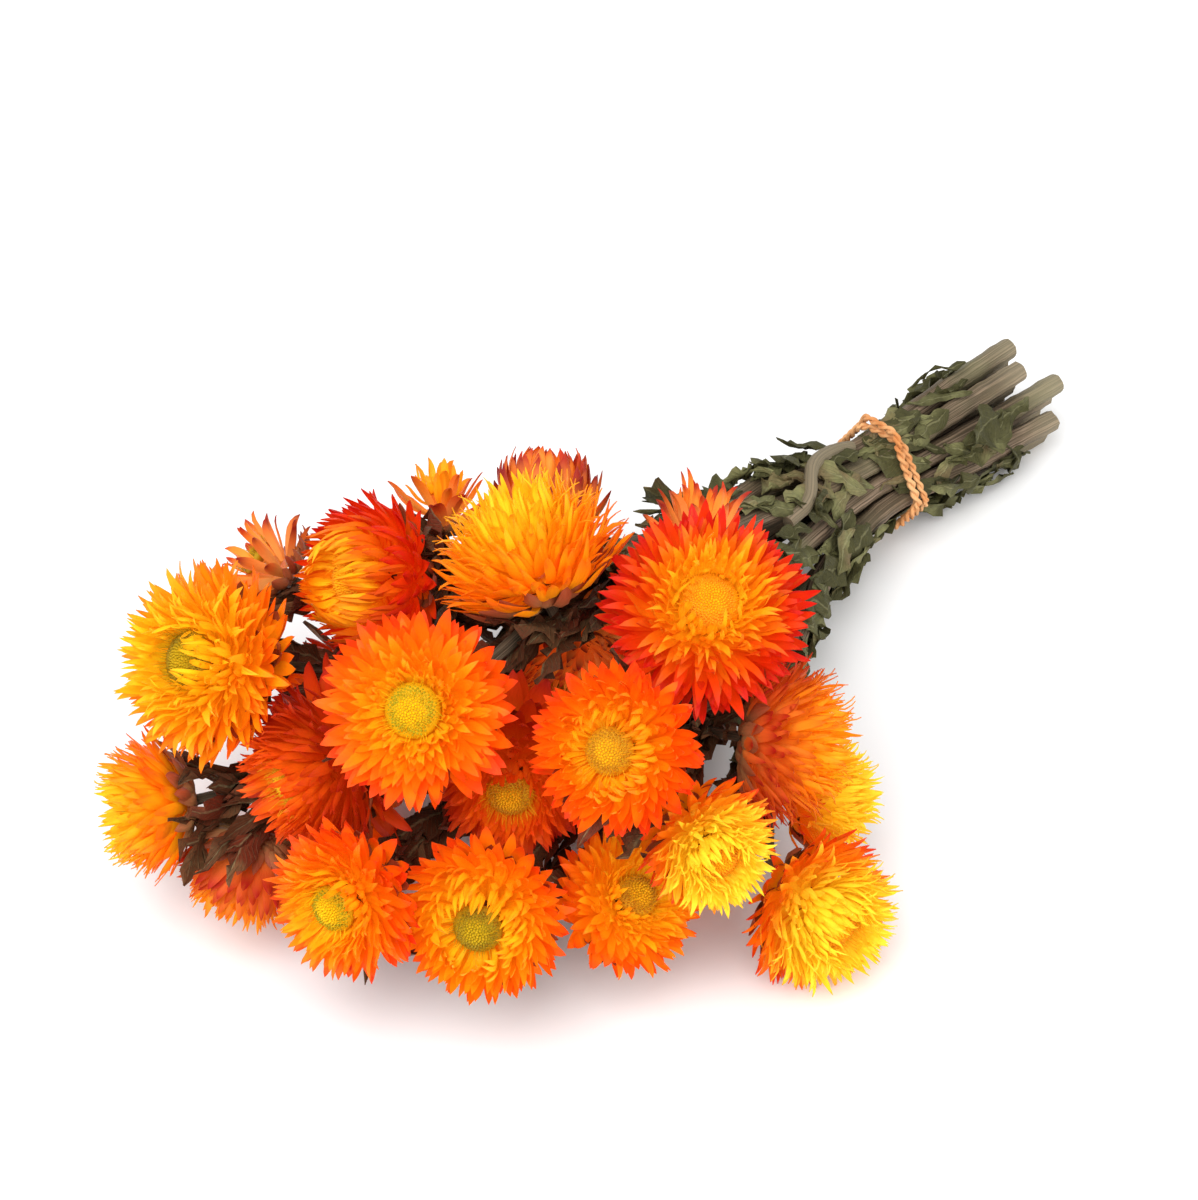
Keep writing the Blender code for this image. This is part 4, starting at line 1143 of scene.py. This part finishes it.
def sheath_leaf(sheath, root_x, turn, slant, layer, sizes, luck):
    """A leaf pressed to the outside of the bundle, tucked flat where the band goes over it."""
    length = LEAF_LENGTH * (0.55 + 0.6 * luck[10])
    toward = math.cos(slant)
    if layer and toward > 0 and root_x > BAND_ZONE[1]:
        length = min(length, (root_x - BAND_ZONE[1] + 2.0) / toward)
    if layer and toward < 0 and root_x < BAND_ZONE[0]:
        length = min(length, (root_x - BAND_ZONE[0] - 2.0) / toward)
    half = LEAF_HALF * (0.45 + 0.75 * luck[11]) * min(1.0, 0.45 + length / 40)
    blade = crumpled_blade(length, half, sizes, luck)
    ahead, sideways, up = np.moveaxis(blade, -1, 0)
    round_it = sheath.reach(np.array(root_x), np.array(turn))
    x = root_x - (ahead * math.cos(slant) - sideways * math.sin(slant))
    spin = turn + (ahead * math.sin(slant) + sideways * math.cos(slant)) / round_it
    share = ahead / length
    loose = luck[12] > 0.86
    lift = layer + up + share**2 * (5 + 8 * luck[13]) * loose
    past = np.maximum(BAND_ZONE[0] - x, x - BAND_ZONE[1])
    ceiling = np.maximum(0.30 + 0.9 * np.maximum(past, 0.0), 0.30)
    floor = 0.22 + 0.12 * layer * np.clip(past / 4, 0, 1)
    lift = np.where(past < 14, np.minimum(lift, ceiling + 0.05 * up), lift)
    return sheath.lay(x, spin, np.maximum(lift, floor))


def model_leafy_stem(stem, routes, heads, sheath, around, chance):
    """A stem with its branches, the cups under its blooms and its crumpled leaves."""
    piece = Piece((FINISHES["bark"], FINISHES["pith"], FINISHES["leaf"]))
    own = [route for route in routes if route.stem == stem]
    for order, route in enumerate(own):
        model_stalk(piece, route, heads[route.head], BRANCH_SIDES if order else STEM_SIDES, chance, int(not order))
    sink_cut_face(piece)
    across, up = STEMS[stem][0]
    if stem not in INNER_STEMS:
        add_sheath_leaves(piece, sheath, math.atan2(up, across), chance)
    for route in own:
        add_branch_leaves(piece, stem, route, around, chance)
    if stem == STUB_STEM:
        add_stub(piece, sheath, chance)
    return piece.finish_as(stem.replace("stem", "leafy_stem"), stem)


def sink_cut_face(piece):
    """The pith of the cut end, a little below a rim of bark."""
    cut = [face for face in piece.shape.faces if face.material_index == 1]
    rim = bmesh.ops.inset_region(piece.shape, faces=cut, thickness=0.6 * MM, depth=-0.35 * MM)
    for face in rim["faces"]:
        face.material_index = 0


def add_sheath_leaves(piece, sheath, owner_turn, chance):
    """Leaves laid over the outside of the bundle, from near the cut ends towards the blooms."""
    for root_x in np.arange(LEAF_FIRST, LEAF_LAST, -LEAF_STEP):
        luck = [chance.random() for _ in range(16)]
        root_x += (luck[14] - 0.5) * LEAF_STEP
        turn = owner_turn + (luck[15] - 0.5) * 0.7
        slant = chance.gauss(0.0, 0.42)
        under_band = BAND_ZONE[1] + 3 < root_x < BAND_ZONE[1] + 16
        near_band = BAND_ZONE[0] - 3 < root_x < BAND_ZONE[1] + 3
        if near_band or (not under_band and luck[9] > (0.5 if root_x > BARE_FROM else 0.75)):
            continue
        if under_band:
            luck[10] = 0.8 + 0.2 * luck[10]
            luck[12] = 0.0
        elif root_x > 0 and luck[5] > 0.7:
            slant += math.pi
        layer = 0.0 if under_band else 0.3 + 3.5 * luck[13] ** 1.5
        points = sheath_leaf(sheath, root_x, turn, slant, layer, BROAD_LEAF, luck)
        if points[..., 2].min() > -2.5 and points[..., 0].max() < BARE_END:
            add_leaf(piece, points, BROAD_LEAF, luck)


def add_branch_leaves(piece, stem, route, around, chance):
    """Smaller leaves all along the stems and branches on the bloom side of the bundle."""
    fine, thick = refine(route.points, route.radii, BRANCH_LEAF_STEP)
    for index in range(1, len(fine) - 1):
        among = fine[index][0] < AMONG_BLOOMS
        for _ in range(2 if among else 1):
            luck = [chance.random() for _ in range(16)]
            angle = chance.uniform(0, math.tau)
            if fine[index][0] > BRANCH_LEAF_START or (not among and luck[13] > 0.6):
                continue
            way = unit(fine[index + 1] - fine[index])
            side, rise = square_to(way)
            outward = math.cos(angle) * side + math.sin(angle) * rise
            size = 1.2 if among else 1.0
            points = settle_leaf(around, stem, fine[index], way, outward, thick[index], size, luck)
            if points is not None:
                add_leaf(piece, points, SMALL_LEAF, luck)


class Surroundings:
    """The stems, blooms, tie and surface that a leaf has to find its place among."""

    def __init__(self, routes, heads):
        lines = [(route.stem, a, b, ra, rb) for route in routes
                 for a, b, ra, rb in zip(route.points, route.points[1:], route.radii, route.radii[1:])]
        self.stems = np.array([line[0] for line in lines])
        self.starts = np.array([line[1] for line in lines])
        self.ends = np.array([line[2] for line in lines])
        self.thick = np.array([max(line[3:]) for line in lines])
        self.axes = np.array([head.axis for head in heads.values()])
        self.centres = np.array([head.base + head.axis * head.radius * HEAD_CORE for head in heads.values()])
        self.sizes = np.array([head.radius for head in heads.values()])

    def room(self, points, stem):
        """How far a blade stays clear of everything but its own stem."""
        spots = points[1:, ::2].reshape(-1, 3)
        other = self.stems != stem
        a, b, r = self.starts[other], self.ends[other], self.thick[other]
        line = b - a
        gap = spots[:, None, :] - a
        share = np.clip(np.einsum("ijk,jk->ij", gap, line) / np.einsum("jk,jk->j", line, line), 0, 1)
        room = (np.linalg.norm(gap - share[..., None] * line, axis=2) - r).min()
        away = spots[:, None, :] - self.centres
        height = np.einsum("ijk,jk->ij", away, self.axes)
        across = np.sqrt(np.maximum((away**2).sum(axis=2) - height**2, 0.0))
        inside = np.sqrt((across / self.sizes) ** 2 + (height / (0.62 * self.sizes)) ** 2)
        room = min(room, ((inside - 0.92) * self.sizes).min())
        return min(room, spots[:, 2].min() - LOW_ENOUGH, spots[:, 1].min() - NEAR_ENOUGH)


def settle_leaf(around, stem, spot, way, outward, radius, size, luck):
    """The first lift and roll at which a leaf has room, or the best of them."""
    length = BRANCH_LEAF_LENGTH * size * (0.6 + 0.8 * luck[10])
    half = BRANCH_LEAF_HALF * size * (0.6 + 0.6 * luck[11])
    blade = crumpled_blade(length, half, SMALL_LEAF, luck)
    level = np.cross(way, outward)
    best, best_room = None, LEAST_ROOM
    for lift, roll in itertools.product(LEAF_LIFTS, LEAF_ROLLS):
        turn, tilt = math.radians(roll), math.radians(lift)
        out = math.cos(turn) * outward + math.sin(turn) * level
        lead = unit(math.cos(tilt) * way + math.sin(tilt) * out)
        face = unit(math.cos(tilt) * out - math.sin(tilt) * way)
        root = spot + out * (radius - LEAF_ROOT_SUNK)
        points = root + blade @ np.array((lead, np.cross(face, lead), face))
        room = around.room(points, stem)
        if room > best_room:
            best, best_room = points, room
        if room > 0.3:
            break
    return best


def add_stub(piece, sheath, chance):
    """A short bare side stem that lies bent over the leaves."""
    spots = np.array(STUB)
    path = sheath.lay(spots[:, 0], spots[:, 1], spots[:, 2])
    radii = np.full(len(path), STUB_RADIUS)
    points, radii = refine(path, radii, 2.0)
    turns = np.arange(BRANCH_SIDES) * math.tau / BRANCH_SIDES
    ways = [unit(after - before) for before, after in zip((points[0], *points), (*points[1:], points[-1]))]
    side, _ = square_to(ways[0])
    rings = []
    for point, radius, way in zip(points, radii, ways):
        side = unit(side - way * (side @ way))
        rise = np.cross(way, side)
        wide = radius * (1 + chance.uniform(-0.05, 0.05))
        rings.append(point + wide * (np.cos(turns)[:, None] * side + np.sin(turns)[:, None] * rise))
    tube = slat(len(points) - 1, BRANCH_SIDES)
    travelled = np.linspace(0.0, 0.008, len(points))
    piece.take(tube, np.array(rings)[None], (travelled[:, None], np.cos(turns), np.sin(turns), 0.9))
    bpy.data.meshes.remove(tube)


def tie_path():
    """The middle line of the band: wound twice, rising over itself where it crosses at the top."""
    places = np.array([place for place, _, _ in STEMS.values()])
    margin = STEM_RADIUS + 0.7 + BAND_RADIUS
    top = math.tau / 4
    path = []
    for index in range(BAND_STEPS):
        turn = 2 * math.tau * index / BAND_STEPS
        way = np.array((math.cos(turn), math.sin(turn)))
        square = np.array((-way[1], way[0]))
        furthest = places[int(np.argmax(places @ way))]
        rise = BAND_OVER * math.exp(-(((turn - top) / BAND_OVER_WIDTH) ** 2))
        spot = way * (furthest @ way + margin + rise) + square * (furthest @ square)
        along = BAND_X + BAND_WANDER * math.cos((turn + top) / 2)
        path.append(TIE_MIDDLE + BUNDLE_WAY * along + (0.0, *spot))
    return np.array(path)


def smooth_ring(path, count):
    """A closed line through the path's points, evenly and finely spaced."""
    total = len(path)
    fine = []
    for spot in np.linspace(0, total, 4 * count, endpoint=False):
        low, part = int(spot), spot - int(spot)
        a, b, c, d = (path[(low + offset) % total] for offset in (-1, 0, 1, 2))
        fine.append(rounded(a, b, c, d, part))
    closed = np.array([*fine, fine[0]])
    done = np.concatenate(([0.0], np.cumsum(np.linalg.norm(np.diff(closed, axis=0), axis=1))))
    marks = np.linspace(0.0, done[-1], count, endpoint=False)
    return np.stack([np.interp(marks, done, closed[:, axis]) for axis in range(3)], axis=1)


def model_tie():
    """Two strands twisted round each other along the band's line, thicker in one of its turns."""
    piece = Piece((FINISHES["band"],))
    line = smooth_ring(tie_path(), STRAND_STEPS)
    for strand in range(2):
        rings = []
        for index in range(STRAND_STEPS):
            way = unit(line[(index + 1) % STRAND_STEPS] - line[index - 1])
            out = unit((line[index] - TIE_MIDDLE) * (0.0, 1.0, 1.0))
            side = unit(np.cross(way, out))
            out = np.cross(side, way)
            turn = math.tau * STRAND_TURNS * index / STRAND_STEPS + math.pi * strand
            thick = STRAND_RADIUS - 0.13 * math.cos(math.tau * index / STRAND_STEPS + math.tau / 8)
            middle = line[index] + thick * 0.90 * (math.cos(turn) * side + math.sin(turn) * out)
            made = bmesh.ops.create_circle(piece.shape, segments=STRAND_SIDES, radius=MM)["verts"]
            for number, corner in enumerate(made):
                angle = math.tau * number / STRAND_SIDES
                spot = middle + thick * (math.cos(angle) * side + math.sin(angle) * out) + UNDER_TIE
                corner.co = Vector(spot) * MM
                piece.mark(corner, index / STRAND_STEPS, number / STRAND_SIDES, 0.0, 0.0)
            rings.append(list({edge for corner in made for edge in corner.link_edges}))
        for index in range(STRAND_STEPS):
            edges = rings[index] + rings[(index + 1) % STRAND_STEPS]
            bmesh.ops.bridge_loops(piece.shape, edges=edges)
    return piece.finish_as("twisted_band", "tie")


def papery_finish_of(colour):
    key = f"papery_{colour}"
    if key not in FINISHES:
        FINISHES[key] = papery_finish(colour)
    return FINISHES[key]


def set_studio():
    """A pale floor and soft light from all round, with a wide lamp above and to the left."""
    bpy.ops.mesh.primitive_plane_add(size=12.0)
    floor = bpy.context.object
    floor.name = "floor"
    floor.data.materials.append(floor_finish())
    world = bpy.data.worlds.new("studio")
    world.use_nodes = True
    sky = world.node_tree.nodes["Background"]
    sky.inputs["Color"].default_value = (1.0, 1.0, 1.0, 1.0)
    sky.inputs["Strength"].default_value = 0.86
    bpy.context.scene.world = world
    for name, place, size, power in (("broad_lamp", (-0.9, -0.2, 1.5), 1.2, 22.0),
                                     ("fill_lamp", (-0.2, -1.5, 0.9), 1.4, 11.0)):
        lamp = bpy.data.lights.new(name, "AREA")
        lamp.size = size
        lamp.energy = power
        holder = bpy.data.objects.new(name, lamp)
        bpy.context.scene.collection.objects.link(holder)
        holder.location = place
        holder.rotation_euler = (Vector((-0.05, 0, 0.05)) - Vector(place)).to_track_quat("-Z", "Y").to_euler()


def set_camera():
    """The photograph's view: 44 degrees above the surface, 42 off the length of the bunch."""
    drop, yaw, distance = math.radians(44), math.radians(42), 1060.0
    look = Vector((math.cos(yaw) * math.cos(drop), math.sin(yaw) * math.cos(drop), -math.sin(drop)))
    aim = Vector(np.array((-116.0, 24.0, 44.0)) + UNDER_TIE)
    lens = bpy.data.cameras.new("camera")
    lens.sensor_width = 36.0
    lens.lens = 36.0 * distance / 0.3 / 1200.0
    camera = bpy.data.objects.new("camera", lens)
    bpy.context.scene.collection.objects.link(camera)
    camera.location = (aim - look * distance) * MM
    camera.rotation_euler = (-look).to_track_quat("Z", "Y").to_euler()
    bpy.context.scene.camera = camera


FINISHES = {
    "scales": scale_finish(),
    "bark": bark_finish(),
    "pith": pith_finish(),
    "leaf": leaf_finish(),
    "band": band_finish(),
}
for tone in DISC_COLOURS:
    FINISHES[tone] = floret_finish(tone)
SLATS = {sizes: slat(*sizes) for sizes in (WIDE_BRACT, SLIM_BRACT, BROAD_LEAF, SMALL_LEAF, HAIR)}
SEED_BEAD = seed()

bpy.context.scene.view_settings.view_transform = "Standard"
set_studio()
set_camera()
chance = random.Random(SEED)
noise.seed_set(SEED)
heads = {name: Head(name) for name in BLOOMS}
press_apart(list(heads.values()))
for head in heads.values():
    model_bracts(head, chance)
    if head.tone:
        model_florets(head, chance)
routes = lay_routes(heads)
ease_apart(routes, heads)
sheath = Sheath(routes)
around = Surroundings(routes, heads)
for stem in STEMS:
    model_leafy_stem(stem, routes, heads, sheath, around, chance)
model_tie()
for template in (*SLATS.values(), SEED_BEAD):
    bpy.data.meshes.remove(template)
